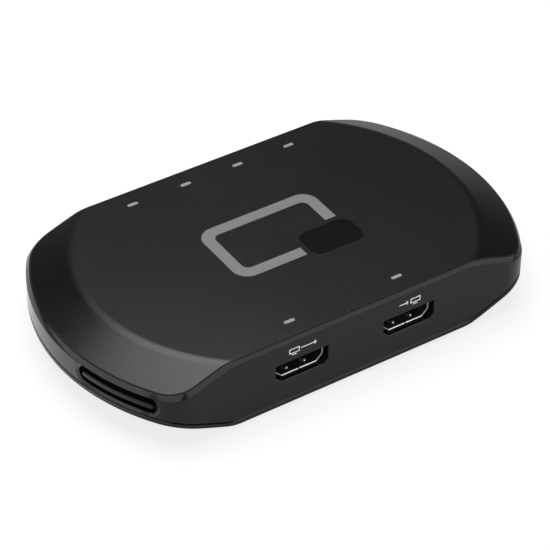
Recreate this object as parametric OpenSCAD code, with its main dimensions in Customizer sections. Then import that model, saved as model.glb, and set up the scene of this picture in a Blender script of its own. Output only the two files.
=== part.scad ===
// Video capture box: a low rounded case with two video sockets in the front wall,
// a data socket and three audio jacks in the rear wall, and one board that carries them.
// Length runs along X, the video sockets face -Y, and the case stands on its feet at z = 0.

/* [Case] */
// Length over the two rounded end walls
body_l = 134; // [128:0.5:142]
// Depth over the front and rear walls
body_w = 76; // [73:0.5:80]
// Height from the flat underside to the flat top
body_h = 21; // [20:0.5:25]
// Radius of the end walls in plan
end_r = 60; // [57:0.5:64]
// Radius of the corners between the side walls and the end walls
corner_r = 11; // [8:0.5:13]
// Width of the sloping band at each end, above and below the end wall
slope_w = 11.6; // [10:0.2:13]
// Fall of the sloping band on top, in degrees
top_angle = 26.5; // [20:0.5:28]
// Rise of the sloping band on the underside, in degrees
under_angle = 30.5; // [22:0.5:32]
// Thickness of the wall ring
wall = 2; // [1.8:0.1:2.4]

/* [Cover and base] */
// Thickness of the top cover
cover_t = 1.5; // [1.2:0.1:1.8]
// Width of the wall ring's rim that shows round the top cover
cover_rim = 1.1; // [0.9:0.1:1.3]
// Seam between the top cover and the rim
cover_gap = 0.12; // [0.05:0.01:0.2]
// Thickness of the base plate
base_t = 1.6; // [1.4:0.1:2]
// Height of the base plate's lip inside the wall ring
lip_h = 1.2; // [0.8:0.1:1.6]
// Thickness of that lip
lip_w = 1.2; // [0.8:0.1:1.6]
// Clearance between the lip and the wall ring
lip_gap = 0.2; // [0.1:0.05:0.4]

/* [Feet] */
// Radius of a rubber foot
foot_r = 5; // [4:0.25:5.5]
// How far the feet stand below the base plate
foot_proud = 1; // [0.6:0.1:2]
// Depth of the seat that a foot is glued into
foot_seat = 0.6; // [0.4:0.1:0.8]
// Clearance round a foot in its seat
foot_gap = 0.15; // [0.1:0.05:0.3]
// Distance from a foot's centre to the outside of the side wall
foot_edge = 9; // [8:0.5:11]
// Distance from a foot's centre back from the end of the flat underside
foot_back = 1; // [0:0.5:3]

/* [Case screws] */
// Distance from a screw post to the outside of the side wall
post_edge = 14; // [12:0.5:16]
// Distance of a screw post beyond the end of the flat side
post_out = 7; // [6:0.5:8]
// Radius of a screw post under the top cover
post_r = 3; // [2.6:0.1:3.2]
// Radius of the boss on the base plate that meets the post
boss_r = 3.6; // [3.4:0.1:4]
// Height of that boss above the underside
boss_h = 6; // [5:0.5:7]
// Radius of a case screw's shank
screw_r = 1.1; // [0.9:0.05:1.3]
// Radius of a case screw's head
screw_head_r = 2.2; // [1.9:0.1:2.4]
// Height of a case screw's head
screw_head_h = 1.3; // [1:0.1:1.5]
// Length of a case screw's shank
screw_l = 10; // [8:0.5:11]
// Depth of the counterbore from the underside
counterbore = 3; // [2:0.25:3.5]

/* [Board] */
// Height of the board's upper face above the underside
board_lift = 8.4; // [8:0.1:9]
// Thickness of the board
board_t = 1.6; // [1.2:0.1:2]
// Clearance between the board's long edges and the wall ring
board_gap = 1.5; // [1:0.1:2]
// Clearance between the board's short edges and the screw posts
board_post_gap = 0.4; // [0.3:0.1:1]
// Distance from a board screw to the board's short edges
board_hole_edge = 2.6; // [2.4:0.1:3.2]
// Radius of a standoff on the base plate
standoff_r = 2.6; // [2.2:0.1:3]
// Radius of a board screw's shank
board_screw_r = 0.95; // [0.8:0.05:1.1]
// Radius of a board screw's head
board_screw_head_r = 1.9; // [1.6:0.1:2.2]
// Height of a board screw's head
board_screw_head_h = 1.2; // [0.9:0.1:1.5]
// Length of a board screw's shank
board_screw_l = 5.5; // [4.5:0.25:6]

/* [Video sockets] */
// Distance between the two video sockets
video_pitch = 33.3; // [31:0.1:36]
// Width of a video socket's mouth
mouth_w = 14; // [13.8:0.05:14.2]
// Height of a video socket's mouth
mouth_h = 4.55; // [4.5:0.05:4.7]
// Cut-off of the mouth's two lower corners
mouth_corner = 1.75; // [1.4:0.05:2]
// Thickness of a socket shell's sheet metal
shell_t = 0.35; // [0.25:0.05:0.45]
// Length of a video socket's shell
shell_l = 11; // [9:0.5:12]
// Distance from the outside of the wall back to a video socket's shell
shell_recess = 1.6; // [1.2:0.1:1.8]
// Clearance beside a shell in the front wall
cutout_side = 0.65; // [0.4:0.05:0.8]
// Clearance above and below a shell in the front wall
cutout_rise = 0.15; // [0.1:0.05:0.3]
// Width of the contact tongue
tongue_w = 11.6; // [11:0.1:12]
// Thickness of the contact tongue
tongue_t = 1.5; // [1.2:0.1:1.8]
// Distance from the shell's front back to the tongue
tongue_setback = 2.6; // [2.5:0.1:3]

/* [Rear ports] */
// Distance between neighbouring rear ports, and between their marks
port_pitch = 16.65; // [15.5:0.05:18]
// Bore of an audio jack
jack_bore_r = 1.8; // [1.78:0.01:1.85]
// Radius of an audio jack's nose
jack_nose_r = 2.6; // [2.4:0.1:2.8]
// Width of an audio jack's body
jack_w = 6.4; // [6:0.1:7]
// Height of an audio jack's body
jack_h = 5.8; // [5.6:0.1:6]
// Length of an audio jack's body
jack_l = 12; // [11:0.25:13]
// Clearance round a jack's nose in the rear wall
jack_gap = 0.25; // [0.15:0.05:0.35]
// Distance from the outside of the wall back to a jack's nose
jack_recess = 0.3; // [0.1:0.1:0.6]
// Width of the data socket's mouth
data_w = 8.34; // [8.2:0.02:8.5]
// Height of the data socket's mouth
data_h = 2.56; // [2.5:0.02:2.7]
// Length of the data socket's shell
data_l = 7.4; // [6.5:0.1:8]
// Distance from the outside of the wall back to the data socket
data_recess = 0.6; // [0.3:0.1:1]
// Clearance round the data socket in the rear wall
data_gap = 0.4; // [0.2:0.05:0.6]

/* [Light pipes] */
// Length of a lit mark on the top
pipe_w = 3.2; // [2.8:0.1:3.6]
// Width of a lit mark on the top
pipe_d = 1.1; // [1:0.05:1.4]
// Clearance round a light pipe in the cover
pipe_gap = 0.08; // [0.05:0.01:0.15]
// Distance from a lit mark to the outside of the side wall
pipe_edge = 6.4; // [5.5:0.1:7]
// Clearance between a light pipe's leg and the back of the sockets
pipe_leg_gap = 0.5; // [0.3:0.1:1]
// Thickness of a light pipe's arm and leg
pipe_arm = 1.6; // [1.2:0.1:1.8]
// Clearance between a light pipe's arm and the tallest socket
pipe_clear = 1; // [0.5:0.1:1.2]

/* [Vents] */
// Length of the slot in an end wall
vent_l = 25.2; // [22:0.2:27]
// Wall left between the slot and the end wall's lower edge
vent_below = 1.1; // [0.8:0.05:1.5]
// Wall left between the slot and the top cover's seat
vent_above = 0.35; // [0.3:0.05:0.6]
// Height of the louvre bar in the slot
bar_h = 1.9; // [1.4:0.1:2.2]
// Turn of the slot from the end of the case towards the front, in degrees
vent_turn = 21.5; // [15:0.5:24]
// Margin of the louvre's carrier plate round the slot
vent_margin = 1; // [0.6:0.1:1.2]
// Thickness of the louvre's carrier plate
vent_plate_t = 1.4; // [1:0.1:1.8]

/* [Inlay] */
// Length of the glossy frame in the top cover
inlay_l = 36; // [28:0.5:44]
// Width of the glossy frame in the top cover
inlay_w = 23; // [18:0.5:28]
// Width of the frame's band
inlay_band = 3.4; // [2.4:0.1:4]
// Outer corner radius of the frame
inlay_r = 4.6; // [4.2:0.1:6]
// Inner corner radius of the frame
inlay_inner_r = 2; // [1:0.1:3]
// Length of the small window in the frame's corner
window_l = 16; // [12:0.5:18]
// Width of the small window in the frame's corner
window_w = 10; // [8:0.5:12]
// Corner radius of the small window
window_r = 2.6; // [1.6:0.1:3.4]
// Plain strip between the frame and the small window
window_strip = 1.6; // [1:0.1:2.4]
// How far the small window stands out past the frame
window_out = 2; // [0:0.1:3]
// Depth of the inlay
inlay_t = 0.5; // [0.3:0.05:0.7]
// Clearance round the inlay
inlay_gap = 0.06; // [0.04:0.01:0.12]

/* [Parts on the board] */
// Side of the capture processor
processor_w = 19; // [15:0.5:23]
// Height of the capture processor
processor_h = 1.4; // [1:0.1:1.8]
// Thickness of the thermal pad
pad_t = 0.5; // [0.3:0.1:1]
// Side of the heat sink
sink_w = 26; // [22:0.5:27]
// Height of the heat sink
sink_h = 7; // [5:0.25:7.5]
// Thickness of the heat sink's base
sink_base = 2; // [1.5:0.1:2.5]
// Thickness of a heat sink fin
fin_t = 1.2; // [0.8:0.1:1.6]
// Number of heat sink fins
fin_count = 7; // [5:1:9]
// Side of the video receiver and of the video transmitter
video_chip_w = 10; // [8:0.5:10.5]
// Side of the data controller
controller_w = 9; // [7:0.5:9.5]
// Side of the audio codec
codec_w = 7; // [5:0.5:7.5]
// Height of the flat chips
chip_h = 1.1; // [0.8:0.1:1.4]
// Side of a power inductor
inductor_w = 6; // [5:0.25:6.5]
// Height of a power inductor
inductor_h = 3; // [2:0.25:4.5]
// Radius of a polymer capacitor
can_r = 3; // [2.5:0.1:3.15]
// Height of a polymer capacitor
can_h = 5.8; // [5:0.2:8]
// Least gap between neighbouring parts on the board
part_gap = 0.6; // [0.4:0.1:0.8]

/* [Hidden] */
$fn = 64;
over = 1;
slope_over = 8;
under_z = foot_proud;
top_z = under_z + body_h;
side_y = body_w / 2;
inner_y = side_y - wall;
end_x = body_l / 2 - end_r;
shoulder_r = end_r - slope_w;
corner_y = side_y - corner_r;
corner_reach = sqrt(pow(end_r - corner_r, 2) - pow(corner_y, 2));
corner_angle = atan2(corner_y, corner_reach);
// The corner arcs stand out by a hair, so that they cross the end arcs cleanly
arc_lap = 0.02;
corner_x = end_x + corner_reach + arc_lap;
flat_x = end_x + sqrt(pow(shoulder_r, 2) - pow(side_y, 2));
foot_x = flat_x - foot_back;
foot_y = side_y - foot_edge;
cover_z = top_z - cover_t;
post_x = flat_x + post_out;
post_y = side_y - post_edge;
board_top = under_z + board_lift;
board_z = board_top - board_t;
board_l = 2 * (post_x - boss_r - board_post_gap);
board_w = 2 * (inner_y - board_gap);
hole_x = board_l / 2 - board_hole_edge;
thread_gap = 0.06;
shank_gap = 0.25;
head_gap = 0.3;
video_x = video_pitch / 2;
shell_y = -side_y + shell_recess;
shell_mid_z = board_top + shell_t + mouth_h / 2;
tongue_y = shell_y + tongue_setback;
tongue_block_l = 3.5;
tongue_fit = 0.05;
contact_start = 0.5;
leg_w = 1.6;
leg_below = 0.8;
leg_gap = 0.3;
leg_places = [2.5, shell_l - 2.5];
jack_y = inner_y - jack_gap;
jack_z = board_top + jack_h / 2;
jack_end_wall = 1.2;
data_t = 0.3;
data_y = side_y - data_recess;
data_z = board_top + data_t + data_h / 2;
hole_y = data_y - data_l - part_gap - board_screw_head_r;
data_tongue_w = 6.7;
data_tongue_t = 0.7;
data_tongue_back = 0.8;
data_block_l = 2.4;
port_x = [for (i = [0:3]) (i - 1.5) * port_pitch];
pipe_y = side_y - pipe_edge;
rear_leg_y = jack_y - jack_l - pipe_leg_gap - pipe_arm / 2;
front_leg_y = shell_y + shell_l + pipe_leg_gap + pipe_arm / 2;
pipe_arm_z = board_top + jack_h + pipe_clear;
pipe_flange = 0.8;
pipe_flange_out = 0.8;
led_size = [1.6, 0.8, 0.7];
led_gap = 0.2;
vent_low = under_z + slope_w * tan(under_angle) + base_t + vent_below;
vent_high = cover_z - (slope_w - cover_rim) * tan(top_angle) - vent_above;
vent_z = (vent_low + vent_high) / 2;
vent_h = vent_high - vent_low;
vent_slit = (vent_h - bar_h) / 2;
vent_plate_gap = 0.15;
vent_plate_clear = 0.25;
vent_web = 0.1;
window_x = inlay_l / 2 - window_l / 2 + window_out;
window_y = -inlay_w / 2 + window_w / 2 - window_out;
sink_z = board_top + processor_h + pad_t;
lead_t = 0.15;
lead_w = 0.35;
lead_l = 1;
lead_count = 12;
lead_margin = 0.8;
chip_column = sink_w / 2 + part_gap;
video_chip_x = chip_column + lead_l + video_chip_w / 2;
video_chip_y = -11;
controller_place = [-chip_column - controller_w / 2, 11];
codec_place = [(port_x[2] + port_x[3]) / 2, jack_y - jack_l / 2];
memory_size = [11, 8, 1.1];
memory_pitch = memory_size.y + part_gap;
memory_places = [for (i = [0, 1]) [chip_column + memory_size.x / 2, memory_size.y / 2 + i * memory_pitch]];
flash_size = [5, 4, 1.6];
flash_place = [-chip_column - flash_size.x / 2, 1];
crystal_size = [3.2, 2.5, 0.9];
flash_crystal_x = flash_place.x - flash_size.x / 2 - part_gap - crystal_size.x / 2;
receiver_crystal_y = video_chip_y + video_chip_w / 2 + lead_l + part_gap + crystal_size.y / 2;
codec_crystal_y = codec_place.y - codec_w / 2 - part_gap - crystal_size.y / 2;
crystal_places = [[flash_crystal_x, flash_place.y], [video_chip_x, receiver_crystal_y],
                  [codec_place.x, codec_crystal_y]];
power_edge = 1;
power_x = board_l / 2 - power_edge - max(can_r, inductor_w / 2);
can_gap = 1;
can_pitch = 2 * can_r + can_gap;
can_rear_y = rear_leg_y - pipe_arm / 2 - part_gap - can_r;
can_front_y = -10;
can_places = [[-power_x, can_rear_y], [-power_x, can_rear_y - can_pitch],
              [power_x, can_front_y], [power_x, can_front_y - can_pitch]];
inductor_gap = 1.5;
inductor_pitch = inductor_w + inductor_gap;
inductor_rear_y = can_rear_y - can_pitch - can_r - can_gap - inductor_w / 2;
inductor_places = [for (i = [0:2]) [-power_x, inductor_rear_y - i * inductor_pitch]];
inductor_well_r = 1.8;
inductor_well = 0.3;
ceramic_size = [0.8, 1.6, 0.8];
ceramic_pitch = 2.2;
ceramic_count = 9;
ceramic_gap = 1.7;
ceramic_row_y = sink_w / 2 + ceramic_gap + ceramic_size.y / 2;
shield_size = [14, 9, 3.2];
shield_edge = 5;
shield_y = -board_w / 2 + shield_edge + shield_size.y / 2;
shield_t = 0.3;
terminal_size = [0.3, 1.4, 3.4];
terminal_first = 2.5;
terminal_pitch = 3.5;

// Flat shapes that several pieces share

module stadium(length, height) {
    square([length - height, height], center = true);
    for (s = [-1, 1]) translate([s * (length - height) / 2, 0]) circle(height / 2);
}

module rounded_rect(length, width, radius) {
    square([length - 2 * radius, width], center = true);
    square([length, width - 2 * radius], center = true);
    for (x = [-1, 1], y = [-1, 1]) {
        translate([x * (length / 2 - radius), y * (width / 2 - radius)]) circle(radius);
    }
}

// Plan of the case, drawn in by inset: straight sides, round corners and wide end arcs
module outline(inset) {
    y = side_y - inset;
    r = end_r - inset;
    tip_x = end_x + r * cos(corner_angle);
    tip_y = r * sin(corner_angle);
    fan = 2 * r * tan(corner_angle);
    polygon([[-corner_x, -y], [corner_x, -y], [tip_x, -tip_y], [tip_x, tip_y],
             [corner_x, y], [-corner_x, y], [-tip_x, tip_y], [-tip_x, -tip_y]]);
    for (sx = [-1, 1], sy = [-1, 1]) {
        translate([sx * corner_x, sy * corner_y]) circle(corner_r - inset);
    }
    for (s = [0, 1]) mirror([s, 0]) intersection() {
        translate([end_x, 0]) circle(r);
        polygon([[end_x, 0], [end_x + 2 * r, -fan], [end_x + 2 * r, fan]]);
    }
}

// Two sloping rings, one over each end, that leave a band of the given fall outside the shoulder
module end_slopes(z, fall_angle) {
    reach = end_r + slope_over;
    sweep = 160;
    fall = (reach - shoulder_r) * tan(fall_angle);
    for (s = [0, 1]) mirror([s, 0, 0]) translate([end_x, 0, z]) rotate([0, 0, -sweep / 2]) {
        rotate_extrude(angle = sweep) polygon([[shoulder_r, 0], [reach, 0], [reach, -fall]]);
    }
}

// Solid case, drawn in by inset, starting lift above the underside and ending drop below the top
module case_block(inset, lift, drop) {
    difference() {
        translate([0, 0, under_z + lift]) linear_extrude(body_h - lift - drop) outline(inset);
        end_slopes(top_z - drop, top_angle);
        end_slopes(under_z + lift, -under_angle);
    }
}

// A flat shape swept along Y from y to y + length, with its own Y axis turned up
module along_y(x, y, z, length) {
    translate([x, y + length, z]) rotate([90, 0, 0]) linear_extrude(length) children();
}

// Places on the four quarters of the case
module quarters(x, y) {
    for (sx = [-1, 1], sy = [-1, 1]) translate([sx * x, sy * y, 0]) children();
}

// Mouth of a video socket, grown evenly, with its two lower corners cut off
module mouth(grow) {
    x = mouth_w / 2 + grow;
    z = mouth_h / 2 + grow;
    c = mouth_corner + grow * (2 - sqrt(2));
    polygon([[-x, z], [x, z], [x, -z + c], [x - c, -z], [-x + c, -z], [-x, -z + c]]);
}

// Opening for a video socket in the front wall: wider beside the shell than above and below it
module mouth_cutout() {
    x = mouth_w / 2 + shell_t + cutout_side;
    z = mouth_h / 2 + shell_t + cutout_rise;
    c = mouth_corner;
    polygon([[-x, z], [x, z], [x, -z + c], [x - c, -z], [-x + c, -z], [-x, -z + c]]);
}

// A flat shape pushed out through the end wall, square to the wall at the slot's centre
module vent_prism() {
    translate([end_x, 0, vent_z]) rotate([0, 0, -vent_turn]) rotate([90, 0, 90]) {
        linear_extrude(end_r + over) children();
    }
}

// Case

module base_plate() {
    color("#262626") difference() {
        union() {
            difference() {
                case_block(0, 0, 0);
                case_block(-over, base_t, -over);
            }
            difference() {
                case_block(wall + lip_gap, base_t / 2, 0);
                case_block(wall + lip_gap + lip_w, -over, -over);
                case_block(-over, base_t + lip_h, -over);
            }
            quarters(post_x, post_y) translate([0, 0, under_z + base_t / 2]) {
                cylinder(r = boss_r, h = boss_h - base_t / 2);
            }
            quarters(hole_x, hole_y) translate([0, 0, under_z + base_t / 2]) {
                cylinder(r = standoff_r, h = board_z - under_z - base_t / 2);
            }
        }
        quarters(post_x, post_y) {
            translate([0, 0, under_z - over]) cylinder(r = screw_head_r + head_gap, h = counterbore + over);
            translate([0, 0, under_z]) cylinder(r = screw_r + shank_gap, h = boss_h + over);
        }
        quarters(hole_x, hole_y) {
            translate([0, 0, under_z + base_t]) cylinder(r = board_screw_r + thread_gap, h = board_lift);
        }
        quarters(foot_x, foot_y) {
            translate([0, 0, under_z - over]) cylinder(r = foot_r + foot_gap, h = foot_seat + over);
        }
    }
}

module wall_ring() {
    color("#303030") difference() {
        case_block(0, base_t, 0);
        translate([0, 0, under_z - over]) linear_extrude(body_h + 2 * over) outline(wall);
        difference() {
            translate([0, 0, under_z]) linear_extrude(body_h + over) outline(cover_rim);
            case_block(-over, -over, cover_t);
        }
        for (s = [-1, 1]) along_y(s * video_x, -side_y - over, shell_mid_z, wall + 2 * over) mouth_cutout();
        along_y(port_x[0], inner_y - over, data_z, wall + 2 * over) {
            stadium(data_w + 2 * data_t + 2 * data_gap, data_h + 2 * data_t + 2 * data_gap);
        }
        for (i = [1:3]) along_y(port_x[i], inner_y - over, jack_z, wall + 2 * over) {
            circle(jack_nose_r + jack_gap);
        }
        for (s = [0, 1]) mirror([s, 0, 0]) vent_prism() stadium(vent_l, vent_h);
    }
}

module top_cover() {
    color("#2b2b2b") difference() {
        union() {
            difference() {
                case_block(cover_rim + cover_gap, base_t, 0);
                case_block(-over, -over, cover_t);
            }
            quarters(post_x, post_y) translate([0, 0, under_z + boss_h]) {
                cylinder(r = post_r, h = body_h - boss_h - cover_t / 2);
            }
        }
        quarters(post_x, post_y) translate([0, 0, under_z + boss_h - over]) {
            cylinder(r = screw_r + thread_gap, h = counterbore + screw_l - boss_h + 2 * over);
        }
        translate([0, 0, cover_z - over]) linear_extrude(cover_t + 2 * over) {
            for (x = port_x) translate([x, pipe_y]) stadium(pipe_w + 2 * pipe_gap, pipe_d + 2 * pipe_gap);
            for (s = [-1, 1]) translate([s * video_x, -pipe_y]) {
                stadium(pipe_w + 2 * pipe_gap, pipe_d + 2 * pipe_gap);
            }
        }
        translate([0, 0, top_z - inlay_t]) linear_extrude(inlay_t + over) {
            frame_shape(inlay_gap);
            window_shape(inlay_gap);
        }
    }
}

// Rounded frame, grown evenly, that stops short of the small window in its corner
module frame_shape(grow) {
    inner = 2 * inlay_band + 2 * grow;
    difference() {
        rounded_rect(inlay_l + 2 * grow, inlay_w + 2 * grow, inlay_r + grow);
        rounded_rect(inlay_l - inner, inlay_w - inner, inlay_inner_r - grow);
        window_shape(window_strip - grow);
    }
}

module window_shape(grow) {
    translate([window_x, window_y]) {
        rounded_rect(window_l + 2 * grow, window_w + 2 * grow, window_r + grow);
    }
}

module inlay_frame() {
    color("#5a5a5a") translate([0, 0, top_z - inlay_t]) linear_extrude(inlay_t) frame_shape(0);
}

module inlay_window() {
    color("#0a0a0a") translate([0, 0, top_z - inlay_t]) linear_extrude(inlay_t) window_shape(0);
}

module foot(sx, sy) {
    edge = 0.4;
    height = foot_proud + foot_seat;
    color("#1a1a1a") translate([sx * foot_x, sy * foot_y, 0]) rotate_extrude() {
        polygon([[0, 0], [foot_r - edge, 0], [foot_r, edge], [foot_r, height], [0, height]]);
    }
}

// A screw with its shank up: the head's bearing face is at z = 0
module screw(shank_r, shank_l, head_r, head_h) {
    cross_l = head_r * 1.2;
    cross_w = head_r * 0.3;
    difference() {
        union() {
            cylinder(r = shank_r, h = shank_l);
            translate([0, 0, -head_h]) cylinder(r = head_r, h = head_h);
        }
        for (a = [0, 90]) rotate([0, 0, a]) translate([-cross_l / 2, -cross_w / 2, -head_h - over]) {
            cube([cross_l, cross_w, head_h / 2 + over]);
        }
    }
}

module case_screws() {
    color("#8a8a88") quarters(post_x, post_y) translate([0, 0, under_z + counterbore]) {
        screw(screw_r, screw_l, screw_head_r, screw_head_h);
    }
}

// Louvre bar, flush with the end wall, on a slit carrier plate that lies against the wall's inside
module vent_louvre() {
    plate_out = wall + vent_plate_gap;
    plate_in = plate_out + vent_plate_t;
    bar_l = vent_l - 2 * vent_slit;
    color("#2c2c2c") difference() {
        union() {
            intersection() {
                case_block(plate_out, base_t + lip_h + vent_plate_clear, cover_t + vent_plate_clear);
                vent_prism() stadium(vent_l + 2 * vent_margin, vent_h + 2 * vent_margin);
            }
            intersection() {
                case_block(0, base_t, 0);
                vent_prism() stadium(bar_l, bar_h);
            }
        }
        translate([0, 0, under_z]) linear_extrude(body_h) outline(plate_in);
        for (s = [-1, 1]) translate([0, 0, s * (bar_h + vent_slit) / 2]) {
            vent_prism() square([bar_l - bar_h, vent_slit - 2 * vent_web], center = true);
        }
    }
}

// Board and its fixings

module main_board() {
    corner = 2;
    color("#1f5a38") difference() {
        translate([0, 0, board_z]) linear_extrude(board_t) difference() {
            rounded_rect(board_l, board_w, corner);
            quarters(hole_x, hole_y) circle(board_screw_r + shank_gap);
        }
        for (s = [-1, 1]) shell_legs(s * video_x, leg_gap);
    }
}

module board_screws() {
    color("#b0aea6") quarters(hole_x, hole_y) translate([0, 0, board_top]) mirror([0, 0, 1]) {
        screw(board_screw_r, board_screw_l, board_screw_head_r, board_screw_head_h);
    }
}

// Light pipe from a mark in the cover, back over the sockets and down to its lamp
module light_pipe(x, side) {
    tip_z = cover_z - pipe_flange;
    lamp_z = board_top + led_size.z + led_gap;
    leg_y = side < 0 ? -front_leg_y : rear_leg_y;
    color("#b8b8b4") translate([x, 0, 0]) mirror([0, side < 0 ? 1 : 0, 0]) {
        translate([0, pipe_y, tip_z]) linear_extrude(top_z - tip_z) stadium(pipe_w, pipe_d);
        translate([0, pipe_y, tip_z]) linear_extrude(pipe_flange) {
            stadium(pipe_w + 2 * pipe_flange_out, pipe_d + 2 * pipe_flange_out);
        }
        translate([-pipe_w / 2, pipe_y - pipe_arm / 2, pipe_arm_z]) {
            cube([pipe_w, pipe_arm, tip_z - pipe_arm_z + pipe_flange / 2]);
        }
        translate([-pipe_w / 2, leg_y - pipe_arm / 2, pipe_arm_z]) {
            cube([pipe_w, pipe_y - leg_y + pipe_arm, pipe_arm]);
        }
        translate([-pipe_w / 2, leg_y - pipe_arm / 2, lamp_z]) {
            cube([pipe_w, pipe_arm, pipe_arm_z - lamp_z + pipe_arm / 2]);
        }
    }
}

module indicator_leds() {
    rear = [for (x = port_x) [x, rear_leg_y]];
    front = [for (s = [-1, 1]) [s * video_x, front_leg_y]];
    color("#e8e2c0") for (p = concat(rear, front)) {
        translate([p.x - led_size.x / 2, p.y - led_size.y / 2, board_top]) cube(led_size);
    }
}

// Video sockets

// Four legs that hold a shell in the board
module shell_legs(x, gap) {
    z = board_z - leg_below - gap;
    for (s = [-1, 1], y = leg_places) {
        translate([x + s * (mouth_w + shell_t) / 2 - shell_t / 2 - gap, shell_y + y - leg_w / 2 - gap, z]) {
            cube([shell_t + 2 * gap, leg_w + 2 * gap, shell_mid_z - z]);
        }
    }
}

// Sheet-metal shell with two sprung fingers cut into its floor and two into its roof
module video_shell(x) {
    finger_x = 2.75;
    finger_w = 1.4;
    finger_l = 4.5;
    finger_start = 1.4;
    slit = 0.3;
    height = mouth_h + 2 * shell_t + 2 * over;
    color("#c8c8c6") difference() {
        union() {
            along_y(x, shell_y, shell_mid_z, shell_l) mouth(shell_t);
            shell_legs(x, 0);
        }
        along_y(x, shell_y - over, shell_mid_z, shell_l + 2 * over) mouth(0);
        for (sx = [-1, 1]) translate([x + sx * finger_x, shell_y + finger_start, shell_mid_z - height / 2]) {
            for (s = [0, 1]) mirror([s, 0, 0]) translate([finger_w / 2, 0, 0]) cube([slit, finger_l, height]);
            translate([-finger_w / 2 - slit, 0, 0]) cube([finger_w + 2 * slit, slit, height]);
        }
    }
}

module video_tongue(x) {
    block_y = shell_y + shell_l - tongue_block_l;
    color("#141414") {
        along_y(x, block_y, shell_mid_z, tongue_block_l) mouth(-tongue_fit);
        translate([x - tongue_w / 2, tongue_y, shell_mid_z - tongue_t / 2]) {
            cube([tongue_w, block_y - tongue_y + over, tongue_t]);
        }
    }
}

module video_contacts(x) {
    count = 10;
    pitch = 1;
    contact = [0.45, shell_l - tongue_block_l - tongue_setback - contact_start, lead_t];
    color("#c9a84c") for (row = [0, 1], i = [0:count - 1 - row]) {
        contact_x = x + (i - (count - 1 - row) / 2) * pitch - contact.x / 2;
        z = row == 0 ? shell_mid_z + tongue_t / 2 : shell_mid_z - tongue_t / 2 - lead_t;
        translate([contact_x, tongue_y + contact_start, z]) cube(contact);
    }
}

// Rear ports

module data_shell() {
    color("#c8c8c6") difference() {
        along_y(port_x[0], data_y - data_l, data_z, data_l) stadium(data_w + 2 * data_t, data_h + 2 * data_t);
        along_y(port_x[0], data_y - data_l - over, data_z, data_l + 2 * over) stadium(data_w, data_h);
    }
}

module data_tongue() {
    tongue = [data_tongue_w, data_l - data_block_l - data_tongue_back + over, data_tongue_t];
    tip_y = data_y - data_tongue_back;
    color("#141414") {
        along_y(port_x[0], data_y - data_l, data_z, data_block_l) {
            stadium(data_w - 2 * tongue_fit, data_h - 2 * tongue_fit);
        }
        translate([port_x[0] - tongue.x / 2, tip_y - tongue.y, data_z - tongue.z / 2]) cube(tongue);
    }
}

module data_contacts() {
    count = 12;
    pitch = 0.5;
    contact = [0.25, data_l - data_block_l - data_tongue_back - contact_start, 0.1];
    color("#c9a84c") for (row = [0, 1], i = [0:count - 1]) {
        contact_x = port_x[0] + (i - (count - 1) / 2) * pitch - contact.x / 2;
        z = row == 0 ? data_z + data_tongue_t / 2 : data_z - data_tongue_t / 2 - contact.z;
        translate([contact_x, data_y - data_l + data_block_l, z]) cube(contact);
    }
}

module audio_jack(x) {
    nose_l = side_y - jack_recess - jack_y;
    bore_l = nose_l + jack_l - jack_end_wall;
    color("#202020") difference() {
        union() {
            translate([x - jack_w / 2, jack_y - jack_l, board_top]) cube([jack_w, jack_l, jack_h]);
            along_y(x, jack_y - over, jack_z, nose_l + over) circle(jack_nose_r);
        }
        along_y(x, jack_y + nose_l - bore_l, jack_z, bore_l + over) circle(jack_bore_r);
    }
}

// Flat terminals that stand against the sides of the jacks and end on the board
module jack_terminals() {
    color("#b9b6a8") for (i = [1:3], s = [-1, 1], row = [0:2]) {
        x = port_x[i] + s * (jack_w + terminal_size.x) / 2 - terminal_size.x / 2;
        y = jack_y - terminal_first - row * terminal_pitch - terminal_size.y / 2;
        translate([x, y, board_top]) cube(terminal_size);
    }
}

// Parts on the board

// Flat chip on the board with a dimple at its first corner
module chip(size, place) {
    dimple_r = 0.4;
    dimple = 0.12;
    inset = 1.1;
    translate([place.x, place.y, board_top]) difference() {
        translate([-size.x / 2, -size.y / 2, 0]) cube(size);
        translate([inset - size.x / 2, size.y / 2 - inset, size.z - dimple]) cylinder(r = dimple_r, h = over);
    }
}

// Square chip with a row of leads along each side
module leaded_chip(width, height, place) {
    pitch = (width - 2 * lead_margin) / (lead_count - 1);
    color("#1b1b1d") chip([width, width, height], place);
    color("#bdbdba") translate([place.x, place.y, board_top]) {
        for (a = [0, 90, 180, 270], i = [0:lead_count - 1]) rotate([0, 0, a]) {
            y = (i - (lead_count - 1) / 2) * pitch - lead_w / 2;
            translate([width / 2, y, 0]) cube([lead_l, lead_w, lead_t]);
        }
    }
}

module capture_processor() {
    color("#1b1b1d") chip([processor_w, processor_w, processor_h], [0, 0]);
}

module thermal_pad() {
    color("#8fa3b5") translate([-processor_w / 2, -processor_w / 2, board_top + processor_h]) {
        cube([processor_w, processor_w, pad_t]);
    }
}

module heat_sink() {
    pitch = (sink_w - fin_t) / (fin_count - 1);
    color("#9da0a3") translate([-sink_w / 2, -sink_w / 2, sink_z]) {
        cube([sink_w, sink_w, sink_base]);
        for (i = [0:fin_count - 1]) translate([i * pitch, 0, 0]) cube([fin_t, sink_w, sink_h]);
    }
}

module video_receiver() {
    leaded_chip(video_chip_w, chip_h, [video_chip_x, video_chip_y]);
}

module video_transmitter() {
    leaded_chip(video_chip_w, chip_h, [-video_chip_x, video_chip_y]);
}

module memory_chips() {
    color("#1b1b1d") for (p = memory_places) chip(memory_size, p);
}

module data_controller() {
    color("#1b1b1d") chip([controller_w, controller_w, chip_h], controller_place);
}

module audio_codec() {
    color("#1b1b1d") chip([codec_w, codec_w, chip_h], codec_place);
}

module flash_memory() {
    color("#1b1b1d") chip(flash_size, flash_place);
}

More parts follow.
